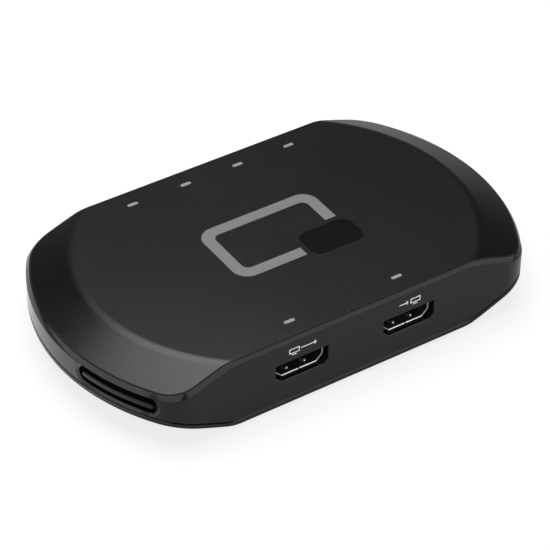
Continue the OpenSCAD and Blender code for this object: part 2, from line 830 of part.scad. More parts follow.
module crystals() {
    color("#c4c4c0") for (p = crystal_places) {
        translate([p.x - crystal_size.x / 2, p.y - crystal_size.y / 2, board_top]) cube(crystal_size);
    }
}

module power_inductors() {
    color("#3c3c3e") for (p = inductor_places) translate([p.x, p.y, board_top]) difference() {
        translate([-inductor_w / 2, -inductor_w / 2, 0]) cube([inductor_w, inductor_w, inductor_h]);
        translate([0, 0, inductor_h - inductor_well]) cylinder(r = inductor_well_r, h = over);
    }
}

module polymer_capacitors() {
    foot_h = 0.6;
    color("#b7b9bc") for (p = can_places) translate([p.x, p.y, board_top]) {
        cylinder(r = can_r, h = can_h);
        translate([-can_r, -can_r, 0]) cube([2 * can_r, 2 * can_r, foot_h]);
    }
}

module ceramic_capacitors() {
    color("#b49a74") for (s = [-1, 1], i = [0:ceramic_count - 1]) {
        x = (i - (ceramic_count - 1) / 2) * ceramic_pitch - ceramic_size.x / 2;
        translate([x, s * ceramic_row_y - ceramic_size.y / 2, board_top]) cube(ceramic_size);
    }
}

module shield_can() {
    inside = [shield_size.x - 2 * shield_t, shield_size.y - 2 * shield_t, shield_size.z - shield_t + over];
    color("#c8c8c6") translate([-shield_size.x / 2, shield_y - shield_size.y / 2, board_top]) difference() {
        cube(shield_size);
        translate([shield_t, shield_t, -over]) cube(inside);
    }
}

base_plate();
wall_ring();
top_cover();
inlay_frame();
inlay_window();
foot(-1, -1);  // foot_front_left
foot(1, -1);  // foot_front_right
foot(-1, 1);  // foot_rear_left
foot(1, 1);  // foot_rear_right
case_screws();
mirror([1, 0, 0]) vent_louvre();  // vent_louvre_left
vent_louvre();  // vent_louvre_right
main_board();
board_screws();
light_pipe(-video_x, -1);  // light_pipe_video_out
light_pipe(video_x, -1);  // light_pipe_video_in
light_pipe(port_x[0], 1);  // light_pipe_data
light_pipe(port_x[1], 1);  // light_pipe_line_out
light_pipe(port_x[2], 1);  // light_pipe_line_in
light_pipe(port_x[3], 1);  // light_pipe_mic
indicator_leds();
video_shell(-video_x);  // video_out_shell
video_tongue(-video_x);  // video_out_tongue
video_contacts(-video_x);  // video_out_contacts
video_shell(video_x);  // video_in_shell
video_tongue(video_x);  // video_in_tongue
video_contacts(video_x);  // video_in_contacts
data_shell();
data_tongue();
data_contacts();
audio_jack(port_x[1]);  // line_out_jack
audio_jack(port_x[2]);  // line_in_jack
audio_jack(port_x[3]);  // mic_jack
jack_terminals();
capture_processor();
thermal_pad();
heat_sink();
video_receiver();
video_transmitter();
memory_chips();
data_controller();
audio_codec();
flash_memory();
crystals();
power_inductors();
polymer_capacitors();
ceramic_capacitors();
shield_can();
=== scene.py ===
# %% [markdown]
# # A video capture box
# This lesson dresses a low black desktop box that sits between a video player and a screen. The solid model
# gives every piece its true size and place. Here the moulded shells get their soft edges, the sockets get
# their folded metal, and every surface gets a finish, so that the box looks as it does on a studio table.

# %% Load the frame
import math

import bmesh
import bpy
from mathutils import Matrix, Vector


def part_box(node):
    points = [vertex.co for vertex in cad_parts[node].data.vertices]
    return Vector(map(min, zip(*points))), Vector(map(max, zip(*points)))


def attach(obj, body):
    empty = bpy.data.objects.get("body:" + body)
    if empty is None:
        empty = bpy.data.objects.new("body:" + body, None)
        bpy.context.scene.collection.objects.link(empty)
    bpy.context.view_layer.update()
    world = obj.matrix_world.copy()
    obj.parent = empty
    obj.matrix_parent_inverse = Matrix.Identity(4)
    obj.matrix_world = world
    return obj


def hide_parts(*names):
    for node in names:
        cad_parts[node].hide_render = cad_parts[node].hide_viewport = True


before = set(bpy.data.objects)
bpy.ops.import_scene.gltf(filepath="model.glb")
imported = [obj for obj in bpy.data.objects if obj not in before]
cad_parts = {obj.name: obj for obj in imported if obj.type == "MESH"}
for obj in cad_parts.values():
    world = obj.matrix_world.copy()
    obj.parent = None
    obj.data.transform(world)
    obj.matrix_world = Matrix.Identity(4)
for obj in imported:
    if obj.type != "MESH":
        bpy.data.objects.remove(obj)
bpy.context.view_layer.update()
MM = 0.001

# %% [markdown]
# ## The camera
# A product picture is taken from far away with a long lens, so that the edges stay nearly parallel. The
# place of the camera is given as a photographer would: how far round the box, how high, how far off, and a
# small roll of the camera about its own axis.

# %% Camera
PICTURE = 550
FOCAL_PIXELS = 2568
SENSOR = 36
AROUND = math.radians(-33.81)
ABOVE = math.radians(38.88)
ROLL = math.radians(0.75)
DISTANCE = 683 * MM
AIM = Vector((-1.53, -2.25, 10.42)) * MM
CLIP_START = 0.01


def aimed_camera():
    flat = math.cos(ABOVE)
    back = Vector((math.sin(AROUND) * flat, -math.cos(AROUND) * flat, math.sin(ABOVE)))
    level = Vector((math.cos(AROUND), math.sin(AROUND), 0))
    upright = back.cross(level)
    right = level * math.cos(ROLL) + upright * math.sin(ROLL)
    up = upright * math.cos(ROLL) - level * math.sin(ROLL)
    camera = bpy.data.objects.new("camera", bpy.data.cameras.new("camera"))
    camera.data.sensor_width = SENSOR
    camera.data.lens = SENSOR * FOCAL_PIXELS / PICTURE
    camera.data.clip_start = CLIP_START
    turn = Matrix((right, up, back)).transposed().to_4x4()
    camera.matrix_world = Matrix.Translation(AIM + back * DISTANCE) @ turn
    bpy.context.collection.objects.link(camera)
    bpy.context.scene.camera = camera
    return camera


camera = aimed_camera()
print("camera: lens", round(camera.data.lens, 1), "mm at", [round(v, 3) for v in camera.location])

# %% [markdown]
# ## The shape of the case
# Seen from above, the case has two straight sides, two wide end arcs and four corner arcs between them. On
# top and below, a band along each end arc slopes away like a dish. All of that follows from a few sizes, so
# two small functions give the height of the top and of the underside at any point.

# %% Sizes of the case
wall_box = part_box("wall_ring")
half_length = wall_box[1].x
side_y = wall_box[1].y
top_z = wall_box[1].z
under_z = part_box("base_plate")[0].z
END_R = 60 * MM
CORNER_R = 11 * MM
SLOPE_W = 11.6 * MM
TOP_SLOPE = math.tan(math.radians(26.5))
UNDER_SLOPE = math.tan(math.radians(30.5))
WALL = 2 * MM
RIM = 1.1 * MM
SEAM = 0.12 * MM
COVER_T = 1.5 * MM
BASE_T = 1.6 * MM
CREASE = 1.3 * MM

end_x = half_length - END_R
shoulder_r = END_R - SLOPE_W
corner_y = side_y - CORNER_R
corner_x = end_x + math.sqrt((END_R - CORNER_R) ** 2 - corner_y ** 2)
corner_angle = math.atan2(corner_y, corner_x - end_x)
print("case:", [round(v / MM, 1) for v in (2 * half_length, 2 * side_y, top_z - under_z)], "mm")


# %% Heights of the top and the underside
def past_shoulder(x, y):
    return math.hypot(max(abs(x) - end_x, 0), y) - shoulder_r


def eased(distance):
    """Zero before the crease, the distance itself after it, and a soft bend between the two."""
    if distance <= -CREASE:
        return 0
    if distance >= CREASE:
        return distance
    return (distance + CREASE) ** 2 / (4 * CREASE)


def top_at(x, y):
    return top_z - TOP_SLOPE * eased(past_shoulder(x, y))


def under_at(x, y):
    return under_z + UNDER_SLOPE * eased(past_shoulder(x, y))


print("top falls to", round((top_at(half_length, 0) - under_z) / MM, 2), "mm at the ends")


# %% [markdown]
# ## A grid that follows the creases
# A shell like this could be cut from a solid with booleans, but the long triangles would show in the
# reflections. A grid is better: its rows run from one end arc to the other, and its columns bend with the
# two creases, so every quad lies well on the surface. The edge of the grid is also the plan of the wall.

# %% Grid over the plan of the case
END_STEPS = 20
CORNER_STEPS = 14
FLAT_STEPS = 12
SLOPE_STEPS = 8
CREASE_STEPS = 8


def quarter_marks(inset):
    """Points (x, y) along a quarter of the plan, from the tip of the end arc to the straight side."""
    r = END_R - inset
    angles = [corner_angle * i / END_STEPS for i in range(END_STEPS)]
    marks = [(end_x + r * math.cos(a), r * math.sin(a)) for a in angles]
    r = CORNER_R - inset
    turn = math.pi / 2 - corner_angle
    angles = [corner_angle + turn * i / CORNER_STEPS for i in range(CORNER_STEPS + 1)]
    return marks + [(corner_x + r * math.cos(a), corner_y + r * math.sin(a)) for a in angles]


def row_across(x_end, y):
    """Points of one row, from the left end to the right end, gathered at the two creases."""
    steps = [2 * i / CREASE_STEPS - 1 for i in range(CREASE_STEPS + 1)]
    bend = [end_x + math.sqrt((shoulder_r + CREASE * s) ** 2 - y * y) for s in steps]
    flat = [bend[0] * i / FLAT_STEPS for i in range(FLAT_STEPS)]
    slope = [bend[-1] + (x_end - bend[-1]) * i / SLOPE_STEPS for i in range(1, SLOPE_STEPS + 1)]
    right = flat + bend + slope
    return [(-x, y) for x in reversed(right[1:])] + [(x, y) for x in right]


def case_grid(inset):
    marks = quarter_marks(inset)
    below = [row_across(x, -y) for x, y in reversed(marks[1:])]
    return below + [row_across(x, y) for x, y in marks]


def edge_loop(rows, columns):
    """Row and column of each point round the edge of a grid, counter-clockwise from above."""
    front = [(0, c) for c in range(columns)]
    right = [(r, columns - 1) for r in range(1, rows)]
    rear = [(rows - 1, c) for c in range(columns - 2, -1, -1)]
    left = [(r, 0) for r in range(rows - 2, 0, -1)]
    return front + right + rear + left


def case_loop(inset):
    grid = case_grid(inset)
    return [grid[r][c] for r, c in edge_loop(len(grid), len(grid[0]))]


print("grid:", len(case_grid(0)), "rows of", len(case_grid(0)[0]), "points")


# %% Solids made from the grid
WELD = 1e-7


def new_piece(name, points, faces):
    """An object made of points and faces, with points that meet welded and all faces turned outwards."""
    mesh = bpy.data.meshes.new(name)
    mesh.from_pydata(points, [], faces)
    shape = bmesh.new()
    shape.from_mesh(mesh)
    bmesh.ops.remove_doubles(shape, verts=shape.verts, dist=WELD)
    bmesh.ops.recalc_face_normals(shape, faces=shape.faces)
    shape.to_mesh(mesh)
    shape.free()
    piece = bpy.data.objects.new(name, mesh)
    bpy.context.collection.objects.link(piece)
    return piece


def bridge(first, second):
    """Quads between two loops of vertex numbers that run the same way round."""
    count = len(first)
    turns = [(i, (i + 1) % count) for i in range(count)]
    return [(first[i], second[i], second[k], first[k]) for i, k in turns]


def plate_solid(name, levels):
    """A closed plate. The first and last levels are whole grids, and those between are loops."""
    points, faces, loops = [], [], []
    for number, (inset, height) in enumerate(levels):
        start = len(points)
        if 0 < number < len(levels) - 1:
            points += [(x, y, height(x, y)) for x, y in case_loop(inset)]
            loops.append(list(range(start, len(points))))
            continue
        grid = case_grid(inset)
        rows, columns = len(grid), len(grid[0])
        points += [(x, y, height(x, y)) for row in grid for x, y in row]
        for r in range(rows - 1):
            for c in range(columns - 1):
                a = start + r * columns + c
                faces.append((a, a + 1, a + columns + 1, a + columns))
        loops.append([start + r * columns + c for r, c in edge_loop(rows, columns)])
    for upper, lower in zip(loops, loops[1:]):
        faces += bridge(upper, lower)
    return new_piece(name, points, faces)


def ring_solid(name, profile):
    """A closed ring: a profile of (inset, height) swept once round the case."""
    points, loops = [], []
    for inset, height in profile:
        start = len(points)
        points += [(x, y, height(x, y)) for x, y in case_loop(inset)]
        loops.append(list(range(start, len(points))))
    faces = [face for a, b in zip(loops, loops[1:] + loops[:1]) for face in bridge(a, b)]
    return new_piece(name, points, faces)


print("plates and rings can be built on", len(case_loop(0)), "points round the edge")

# %% [markdown]
# ## Soft edges
# No moulded edge is truly sharp. A bevel modifier could round the shells after they are made, but on long
# curved edges it slips. Here the profile itself is drawn with small arcs before it is swept, which always
# holds.

# %% Rounded lines
def rounded(points, radii, steps=4, closed=False):
    """A line of flat points with an arc at each corner that has a radius."""
    line = []
    count = len(points)
    for i, corner in enumerate(Vector(p) for p in points):
        at_end = not closed and i in (0, count - 1)
        if at_end or radii[i] == 0:
            line.append(tuple(corner))
            continue
        back = (Vector(points[i - 1]) - corner).normalized()
        ahead = (Vector(points[(i + 1) % count]) - corner).normalized()
        half = back.angle(ahead) / 2
        centre = corner + (back + ahead).normalized() * radii[i] / math.sin(half)
        start = corner + back * radii[i] / math.tan(half) - centre
        stop = corner + ahead * radii[i] / math.tan(half) - centre
        first = math.atan2(start.y, start.x)
        turn = (math.atan2(stop.y, stop.x) - first + math.pi) % math.tau - math.pi
        for s in range(steps + 1):
            angle = first + turn * s / steps
            line.append((centre.x + radii[i] * math.cos(angle), centre.y + radii[i] * math.sin(angle)))
    return line


def below_top(drop):
    return lambda x, y: top_at(x, y) - drop


def over_underside(rise):
    return lambda x, y: under_at(x, y) + rise


square = rounded([(0, 0), (1, 0), (1, 1), (0, 1)], [0.1] * 4, 4, True)
print("a square with rounded corners has", len(square), "points")

# %% [markdown]
# ## Clean shading
# After a hole is cut, Blender averages the normals at its edge, and a flat wall then looks dented. Since
# the true direction of each wall is known from the sizes, it is written into the mesh: faces that lie on
# the wall or on the top get the exact normal, and only the small rounds keep the averaged one.

# %% Exact normals
SHARP = math.radians(38)
ALIGNED = 0.998


def outward(point):
    """Direction in which the wall of the case faces at a point of its plan."""
    x, y = abs(point.x), abs(point.y)
    if x <= corner_x:
        flat = Vector((0, 1))
    elif math.atan2(y, x - end_x) <= corner_angle:
        flat = Vector((x - end_x, y)).normalized()
    else:
        flat = Vector((x - corner_x, y - corner_y)).normalized()
    return Vector((math.copysign(flat.x, point.x), math.copysign(flat.y, point.y), 0))


def dished(point, slope, facing):
    """Normal of the top or of the underside, which bends away past each crease."""
    past = past_shoulder(point.x, point.y)
    share = min(max((past + CREASE) / (2 * CREASE), 0), 1)
    away = Vector((math.copysign(max(abs(point.x) - end_x, 0), point.x), point.y, 0)).normalized()
    return (away * slope * share + Vector((0, 0, facing))).normalized()


def case_normal(face, point):
    """The exact normal where a face lies on the wall, the top or the underside, and None elsewhere."""
    guesses = [outward(point), dished(point, TOP_SLOPE, 1), dished(point, UNDER_SLOPE, -1)]
    best = max(guesses, key=face.normal.dot)
    return best if face.normal.dot(best) > ALIGNED else None


def shade(piece, rule=None):
    """Smooth shading with sharp edges. A rule gives the exact normal where it knows it."""
    mesh = piece.data
    mesh.shade_smooth()
    mesh.set_sharp_from_angle(angle=SHARP)
    if rule is None:
        return
    normals = [corner.vector.copy() for corner in mesh.corner_normals]
    for face in mesh.polygons:
        for loop in face.loop_indices:
            exact = rule(face, mesh.vertices[mesh.loops[loop].vertex_index].co)
            if exact is not None:
                normals[loop] = exact
    mesh.normals_split_custom_set(normals)


print("edges over", round(math.degrees(SHARP)), "degrees are shaded sharp")

# %% [markdown]
# ## Cutting and joining
# Openings and posts could be worked into the grid, but that would break its even rows. They are cut out of
# a whole shell or joined to it with the exact boolean solver, and the helper solids are deleted. A finished
# piece then takes the place of its solid on the body.


# %% Cutting, joining and settling
def loft(name, rings):
    """A closed solid through rings of points that match one to one, with flat ends."""
    count = len(rings[0])
    points = [p for ring in rings for p in ring]
    loops = [list(range(i * count, (i + 1) * count)) for i in range(len(rings))]
    faces = [face for a, b in zip(loops, loops[1:]) for face in bridge(a, b)]
    return new_piece(name, points, faces + [tuple(loops[0]), tuple(loops[-1])])


def combine(piece, others, operation="DIFFERENCE"):
    """Cut other solids out of a piece, or join them to it, and delete the others."""
    for other in others:
        step = piece.modifiers.new(other.name, "BOOLEAN")
        step.operation = operation
        step.solver = "EXACT"
        step.object = other
    evaluated = piece.evaluated_get(bpy.context.evaluated_depsgraph_get())
    mesh = bpy.data.meshes.new_from_object(evaluated)
    piece.modifiers.clear()
    piece.data = mesh
    for other in others:
        bpy.data.objects.remove(other)
    return piece


def settle(piece, slot, *nodes):
    """Put a finished piece on the body, in the place of its solid. The slot argument is not used."""
    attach(piece, "root")
    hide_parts(*nodes)
    print(piece.name, "stands for", ", ".join(nodes), "with", len(piece.data.polygons), "faces")
    return piece


# %% [markdown]
# ## Finishes
# Three effects come back in many materials, so each is a node group with named sockets: the fine
# spark-eroded grain of a mould, the slow change of gloss that handling leaves, and the slightly paler line
# along worn edges. Each material places them with its own values and keeps its own shader.

# %% Helpers for node groups
def group_tree(name, inputs, outputs):
    """An empty node group with named number sockets, and its input and output nodes."""
    tree = bpy.data.node_groups.new(name, "ShaderNodeTree")
    for label, value in inputs.items():
        tree.interface.new_socket(label, in_out="INPUT", socket_type="NodeSocketFloat").default_value = value
    for label in outputs:
        tree.interface.new_socket(label, in_out="OUTPUT", socket_type="NodeSocketFloat")
    return tree, tree.nodes.new("NodeGroupInput"), tree.nodes.new("NodeGroupOutput")


def math_node(tree, operation, first, second):
    """A Math node, with each input either a socket or a number."""
    node = tree.nodes.new("ShaderNodeMath")
    node.operation = operation
    for socket, value in zip(node.inputs, (first, second)):
        if isinstance(value, (int, float)):
            socket.default_value = value
        else:
            tree.links.new(value, socket)
    return node.outputs["Value"]


def noise_node(tree, scale, source, detail):
    node = tree.nodes.new("ShaderNodeTexNoise")
    node.inputs["Detail"].default_value = detail
    tree.links.new(source, node.inputs["Vector"])
    tree.links.new(scale, node.inputs["Scale"])
    return node.outputs["Fac"]


print("helpers for node groups are ready")

# %% Node groups
FINER = 2.3
PIT_SHARE = 0.7
EDGE_LEVEL = 0.53
BREAK_SCALE = 40


def grain_group():
    """Grain of a spark-eroded mould: small round pits over a finer roughness."""
    tree, given, result = group_tree("moulded grain", {"Grains per mm": 4}, ["Height", "Fleck"])
    place = tree.nodes.new("ShaderNodeTexCoord").outputs["Object"]
    scale = math_node(tree, "MULTIPLY", given.outputs["Grains per mm"], 1 / MM)
    pits = tree.nodes.new("ShaderNodeTexVoronoi")
    pits.feature = "SMOOTH_F1"
    tree.links.new(place, pits.inputs["Vector"])
    tree.links.new(scale, pits.inputs["Scale"])
    fine = noise_node(tree, math_node(tree, "MULTIPLY", scale, FINER), place, detail=3)
    pitted = math_node(tree, "MULTIPLY", pits.outputs["Distance"], PIT_SHARE)
    height = math_node(tree, "ADD", pitted, fine)
    tree.links.new(height, result.inputs["Height"])
    tree.links.new(fine, result.inputs["Fleck"])
    return tree


def handling_group():
    """Slow change of gloss from wiping and handling, about zero on average."""
    tree, given, result = group_tree("handling", {"Spots per m": 30, "Amount": 0.05}, ["Change"])
    place = tree.nodes.new("ShaderNodeTexCoord").outputs["Object"]
    cloud = noise_node(tree, given.outputs["Spots per m"], place, detail=4)
    centred = math_node(tree, "SUBTRACT", cloud, 0.5)
    tree.links.new(math_node(tree, "MULTIPLY", centred, given.outputs["Amount"]), result.inputs["Change"])
    return tree


def edge_group():
    """One along worn outer edges and zero on open faces, broken up by a little noise."""
    tree, given, result = group_tree("edge wear", {"Reach": 12}, ["Mask"])
    shape = tree.nodes.new("ShaderNodeNewGeometry").outputs["Pointiness"]
    place = tree.nodes.new("ShaderNodeTexCoord").outputs["Object"]
    scale = math_node(tree, "MULTIPLY", given.outputs["Reach"], BREAK_SCALE)
    broken = noise_node(tree, scale, place, detail=3)
    raised = math_node(tree, "SUBTRACT", shape, EDGE_LEVEL)
    ridge = math_node(tree, "MULTIPLY", raised, given.outputs["Reach"])
    worn = math_node(tree, "MULTIPLY", ridge, broken)
    limit = tree.nodes.new("ShaderNodeClamp")
    tree.links.new(worn, limit.inputs["Value"])
    tree.links.new(limit.outputs["Result"], result.inputs["Mask"])
    return tree


GRAIN, HANDLING, EDGES = grain_group(), handling_group(), edge_group()
print("node groups:", [g.name for g in (GRAIN, HANDLING, EDGES)])


# %% One function for a finish
PALER = 1.5
COOL = 1.02


def place_group(tree, group, **values):
    node = tree.nodes.new("ShaderNodeGroup")
    node.node_tree = group
    for label, value in values.items():
        node.inputs[label.replace("_", " ")].default_value = value
    return node


def finish(name, colour, gloss, grain=4, depth=0.0, worn=None, smudge=0.06, fleck=0.15, **plain):
    """A material of the given colour and roughness, with grain, handling and worn edges."""
    material = bpy.data.materials.new(name)
    material.use_nodes = True
    tree = material.node_tree
    shader = tree.nodes["Principled BSDF"]
    for label, value in plain.items():
        shader.inputs[label.replace("_", " ")].default_value = value
    grains = place_group(tree, GRAIN, Grains_per_mm=grain)
    wiped = place_group(tree, HANDLING, Amount=2 * smudge)
    edges = place_group(tree, EDGES)
    light = [min(1, c * (1 + fleck)) for c in colour]
    dark = [c * (1 - fleck) for c in colour]
    speckle = tree.nodes.new("ShaderNodeMix")
    speckle.data_type = "RGBA"
    speckle.inputs["A"].default_value = (*dark, 1)
    speckle.inputs["B"].default_value = (*light, 1)
    tree.links.new(grains.outputs["Fleck"], speckle.inputs["Factor"])
    wear = tree.nodes.new("ShaderNodeMix")
    wear.data_type = "RGBA"
    wear.inputs["B"].default_value = (*(worn or [min(1, c * PALER) for c in colour]), 1)
    tree.links.new(edges.outputs["Mask"], wear.inputs["Factor"])
    tree.links.new(speckle.outputs["Result"], wear.inputs["A"])
    tree.links.new(wear.outputs["Result"], shader.inputs["Base Color"])
    tree.links.new(math_node(tree, "ADD", wiped.outputs["Change"], gloss), shader.inputs["Roughness"])
    if depth:
        bump = tree.nodes.new("ShaderNodeBump")
        bump.inputs["Distance"].default_value = depth * MM
        bump.inputs["Strength"].default_value = 1
        tree.links.new(grains.outputs["Height"], bump.inputs["Height"])
        tree.links.new(bump.outputs["Normal"], shader.inputs["Normal"])
    return material


def grey(level):
    """A grey with a breath of blue, as black plastic has."""
    return (level, level, level * COOL)


def dress(piece, material):
    """Give a piece one material all over."""
    piece.data.materials.clear()
    piece.data.materials.append(material)


LID_BLACK = finish("lid_black", grey(0.0025), 0.27, grain=2.8, depth=0.021, fleck=0.3,
                   Specular_IOR_Level=0.45)
WALL_BLACK = finish("wall_black", grey(0.004), 0.14, grain=9, depth=0.001, Specular_IOR_Level=0.52)
BASE_BLACK = finish("base_black", grey(0.005), 0.22, grain=6, depth=0.002, Specular_IOR_Level=0.5)
print("lid, wall and base finishes are ready")

# %% [markdown]
# ## The wall
# The wall is one moulded ring. It carries a bevelled rim that shows as a paler line round the lid, a seat
# that the lid drops into, and a small round along its lower edge where it meets the base. It is swept round
# the plan in one go, and the openings are cut afterwards.

# %% Wall ring
SKIN = 0.02 * MM
BEVEL = 1.0 * MM
BEVEL_ROUND = 0.2 * MM
RIM_ROUND = 0.1 * MM
LOWER_ROUND = 0.04 * MM
BASE_SEAM = 0.05 * MM
CREST_ROUND = 0.05 * MM
LOWER_STUB = 2 * MM
UPPER_STUB = 4 * MM


def wall_profile():
    """(inset, height) points round the wall. The two stubs only give the rounds their direction."""
    lower = rounded([(WALL, 0), (SKIN, 0), (SKIN, LOWER_STUB)], [0, LOWER_ROUND, 0])[:-1]
    crest = RIM - RIM_ROUND
    corners = [(SKIN, UPPER_STUB), (SKIN, BEVEL), (crest, SKIN + BEVEL - crest),
               (RIM, BEVEL - crest + RIM_ROUND), (RIM, COVER_T), (WALL, COVER_T)]
    upper = rounded(corners, [0, BEVEL_ROUND, CREST_ROUND, CREST_ROUND, 0, 0])[1:]
    line = [(inset, over_underside(BASE_T + BASE_SEAM + rise)) for inset, rise in lower]
    return line + [(inset, below_top(drop)) for inset, drop in upper]


wall = ring_solid("case_wall", wall_profile())
print("wall ring:", len(wall.data.polygons), "faces before the openings")

# %% [markdown]
# ### Openings in the long walls
# Each opening has a small lead-in round its edge, as a mould leaves it. A cutter with a flared mouth makes
# the hole and the lead-in together.

# %% Outlines and cutters
LEAD_IN = 0.22 * MM
CUTTER_SPREAD = 0.4 * MM
CUT_CORNER = 1.75 * MM
SHELL_T = 0.35 * MM
MOUTH_H = 4.55 * MM
mouth_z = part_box("video_out_shell")[1].z - SHELL_T - MOUTH_H / 2
CUTOUT_HALF_W = 8 * MM
CUTOUT_GAP = 0.15 * MM
CUTOUT_ROUND = 0.35 * MM


def video_outline(grow):
    """Outline of a video cut-out: a rectangle with its two lower corners cut off, every corner rounded."""
    x, z = CUTOUT_HALF_W + grow, MOUTH_H / 2 + SHELL_T + CUTOUT_GAP + grow
    c = CUT_CORNER + grow * (2 - math.sqrt(2))
    corners = [(-x, z), (-x, c - z), (c - x, -z), (x - c, -z), (x, c - z), (x, z)]
    return rounded(corners, [CUTOUT_ROUND] * 6, 3, True)


def slot_outline(length, height, steps=10):
    """Outline of a slot with round ends."""
    reach, r = (length - height) / 2, height / 2
    arc = [math.pi * i / steps - math.pi / 2 for i in range(steps + 1)]
    right = [(reach + r * math.cos(a), r * math.sin(a)) for a in arc]
    return right + [(-x, -z) for x, z in right]


def flared_cutter(outline, x, z, facing):
    """Cutter through the front (-1) or rear (1) wall. The outline is a function of how much it is grown."""
    depths = [(-CUTTER_SPREAD, LEAD_IN + CUTTER_SPREAD), (LEAD_IN, 0), (WALL + CUTTER_SPREAD, 0)]
    rings = []
    for depth, grow in depths:
        y = facing * (side_y - depth)
        rings.append([(x + px, y, z + pz) for px, pz in outline(grow)])
    return loft("opening", rings)


def middle(node):
    low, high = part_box(node)
    return (low + high) / 2


print("the video sockets' mouths are", round(mouth_z / MM, 2), "mm over the table")

# %% Openings in the front and rear walls
DATA_GAP = 0.4 * MM
JACK_HOLE = 5.7 * MM
HAIR = 1e-6


def data_outline(grow):
    low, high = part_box("data_shell")
    length, height = high.x - low.x + 2 * DATA_GAP, high.z - low.z + 2 * DATA_GAP
    return slot_outline(length + 2 * grow, height + 2 * grow)


def jack_outline(grow):
    """A round hole, drawn as a slot that is a hair longer than it is high."""
    across = JACK_HOLE + 2 * grow
    return slot_outline(across, across - HAIR, 20)


def rear_cutters():
    centre = middle("data_shell")
    yield flared_cutter(data_outline, centre.x, centre.z, 1)
    for node in ("line_out_jack", "line_in_jack", "mic_jack"):
        centre = middle(node)
        yield flared_cutter(jack_outline, centre.x, centre.z, 1)


def video_cutters():
    for side in ("out", "in"):
        yield flared_cutter(video_outline, middle(f"video_{side}_tongue").x, mouth_z, -1)


combine(wall, list(video_cutters()) + list(rear_cutters()))
print("wall with its sockets:", len(wall.data.polygons), "faces")

# %% [markdown]
# ### The cooling slots
# The end walls are curved, so a straight cutter would give the slot an uneven edge. The slot is drawn flat,
# as a length and a height, and then laid round the end arc layer by layer: wide at the dished outside,
# narrow within.

# %% Blocks that follow the end wall
VENT_TURN = math.radians(21.5)
VENT_L = 25.2 * MM
VENT_H = 4.38 * MM
BAR_H = 1.9 * MM
BAR_L = VENT_L - (VENT_H - BAR_H)
VENT_Z = 12.72 * MM


def slot_columns(length, height, arc_steps=8, straight_steps=16):
    """(along, half height) from one tip of a slot with round ends to the other."""
    reach, r = (length - height) / 2, height / 2
    arc = [math.pi / 2 * i / arc_steps for i in range(arc_steps)]
    left = [(-reach - r * math.cos(a), r * math.sin(a)) for a in arc]
    straight = [(reach * (2 * i / straight_steps - 1), r) for i in range(straight_steps + 1)]
    return left + straight + [(-along, half) for along, half in reversed(left)]


def on_end_wall(along, z, radius, side):
    angle = math.asin(along / END_R) - VENT_TURN
    return (side * (end_x + radius * math.cos(angle)), radius * math.sin(angle), z)


def curved_block(name, side, layers, centre_z=VENT_Z):
    """A closed block on the end wall, through layers of (radius, length, height, rise) from outside in."""
    points, faces, loops, rows = [], [], [], []
    for radius, length, height, *rise in layers:
        columns = slot_columns(length, height)
        start = len(points)
        z = centre_z + sum(rise)
        points += [on_end_wall(along, z + half, radius, side) for along, half in columns]
        points += [on_end_wall(along, z - half, radius, side) for along, half in columns]
        count = len(columns)
        rows.append((start, count))
        there = list(range(start, start + count))
        loops.append(there + list(range(start + 2 * count - 2, start + count, -1)))
    for outer, inner in zip(loops, loops[1:]):
        faces += bridge(outer, inner)
    for start, count in (rows[0], rows[-1]):
        for i in range(count - 1):
            a, b = start + i, start + count + i
            faces.append((a, a + 1, b + 1, b))
    return new_piece(name, points, faces)


print("each cooling slot is", round(VENT_L / MM, 1), "by", round(VENT_H / MM, 1), "mm")

# %% Cooling slots
DISH = 0.85 * MM
DISH_DEPTH = 0.5 * MM
LIP_DROP = 0.3 * MM
BEYOND = 0.5 * MM


def slot_cutter(side):
    wide = DISH * (1 + BEYOND / DISH_DEPTH)
    height = VENT_H + LIP_DROP
    layers = [(END_R + BEYOND, VENT_L + 2 * wide, height + 2 * wide),
              (END_R - DISH_DEPTH, VENT_L, height),
              (END_R - WALL - BEYOND, VENT_L, height)]
    return curved_block("slot", side, layers, VENT_Z - LIP_DROP / 2)


combine(wall, [slot_cutter(-1), slot_cutter(1)])
shade(wall, case_normal)
dress(wall, WALL_BLACK)
settle(wall, "ring_black", "wall_ring")

# %% [markdown]
# ## The lid
# The lid is a thin plate, flat between two creases and sloping down to both ends. Four hollow posts under
# it take the case screws. Six slots let the light marks through, and a shallow recess in the middle holds
# the glossy inlay. The plate is built on the grid, and the rest is cut out of it or joined to it.

# %% Lid plate
LID_EDGE = 0.22 * MM
LID_STUB = 1 * MM
PAST_EDGE = 0.02 * MM
lid_inset = RIM + SEAM


def lid_levels():
    """Levels of the lid, from its upper grid round the edge to its lower grid. The stub is dropped."""
    corners = [(lid_inset + LID_STUB, 0), (lid_inset, 0), (lid_inset, COVER_T)]
    loops = [(inset, below_top(drop)) for inset, drop in rounded(corners, [0, LID_EDGE, 0])[1:]]
    inner = lid_inset + LID_EDGE + PAST_EDGE
    return [(inner, below_top(0))] + loops + [(inner, below_top(COVER_T))]


lid = plate_solid("case_lid", lid_levels())
print("lid plate:", len(lid.data.polygons), "faces")


# %% Slots for the light marks
def upright_cutter(outline, x, y, low, high):
    return loft("cutter", [[(x + px, y + py, z) for px, py in outline] for z in (low, high)])


LIGHTS = ["video_out", "video_in", "data", "line_out", "line_in", "mic"]
MARK_L, MARK_W = 3.2 * MM, 1.1 * MM
MARK_GAP = 0.08 * MM
MARK_EDGE = 6.4 * MM
mark_y = side_y - MARK_EDGE


def mark_place(light):
    centre = middle(f"light_pipe_{light}")
    return centre.x, math.copysign(mark_y, centre.y)


def light_slots():
    outline = slot_outline(MARK_L + 2 * MARK_GAP, MARK_W + 2 * MARK_GAP)
    for light in LIGHTS:
        yield upright_cutter(outline, *mark_place(light), top_z - COVER_T - MM, top_z + MM)


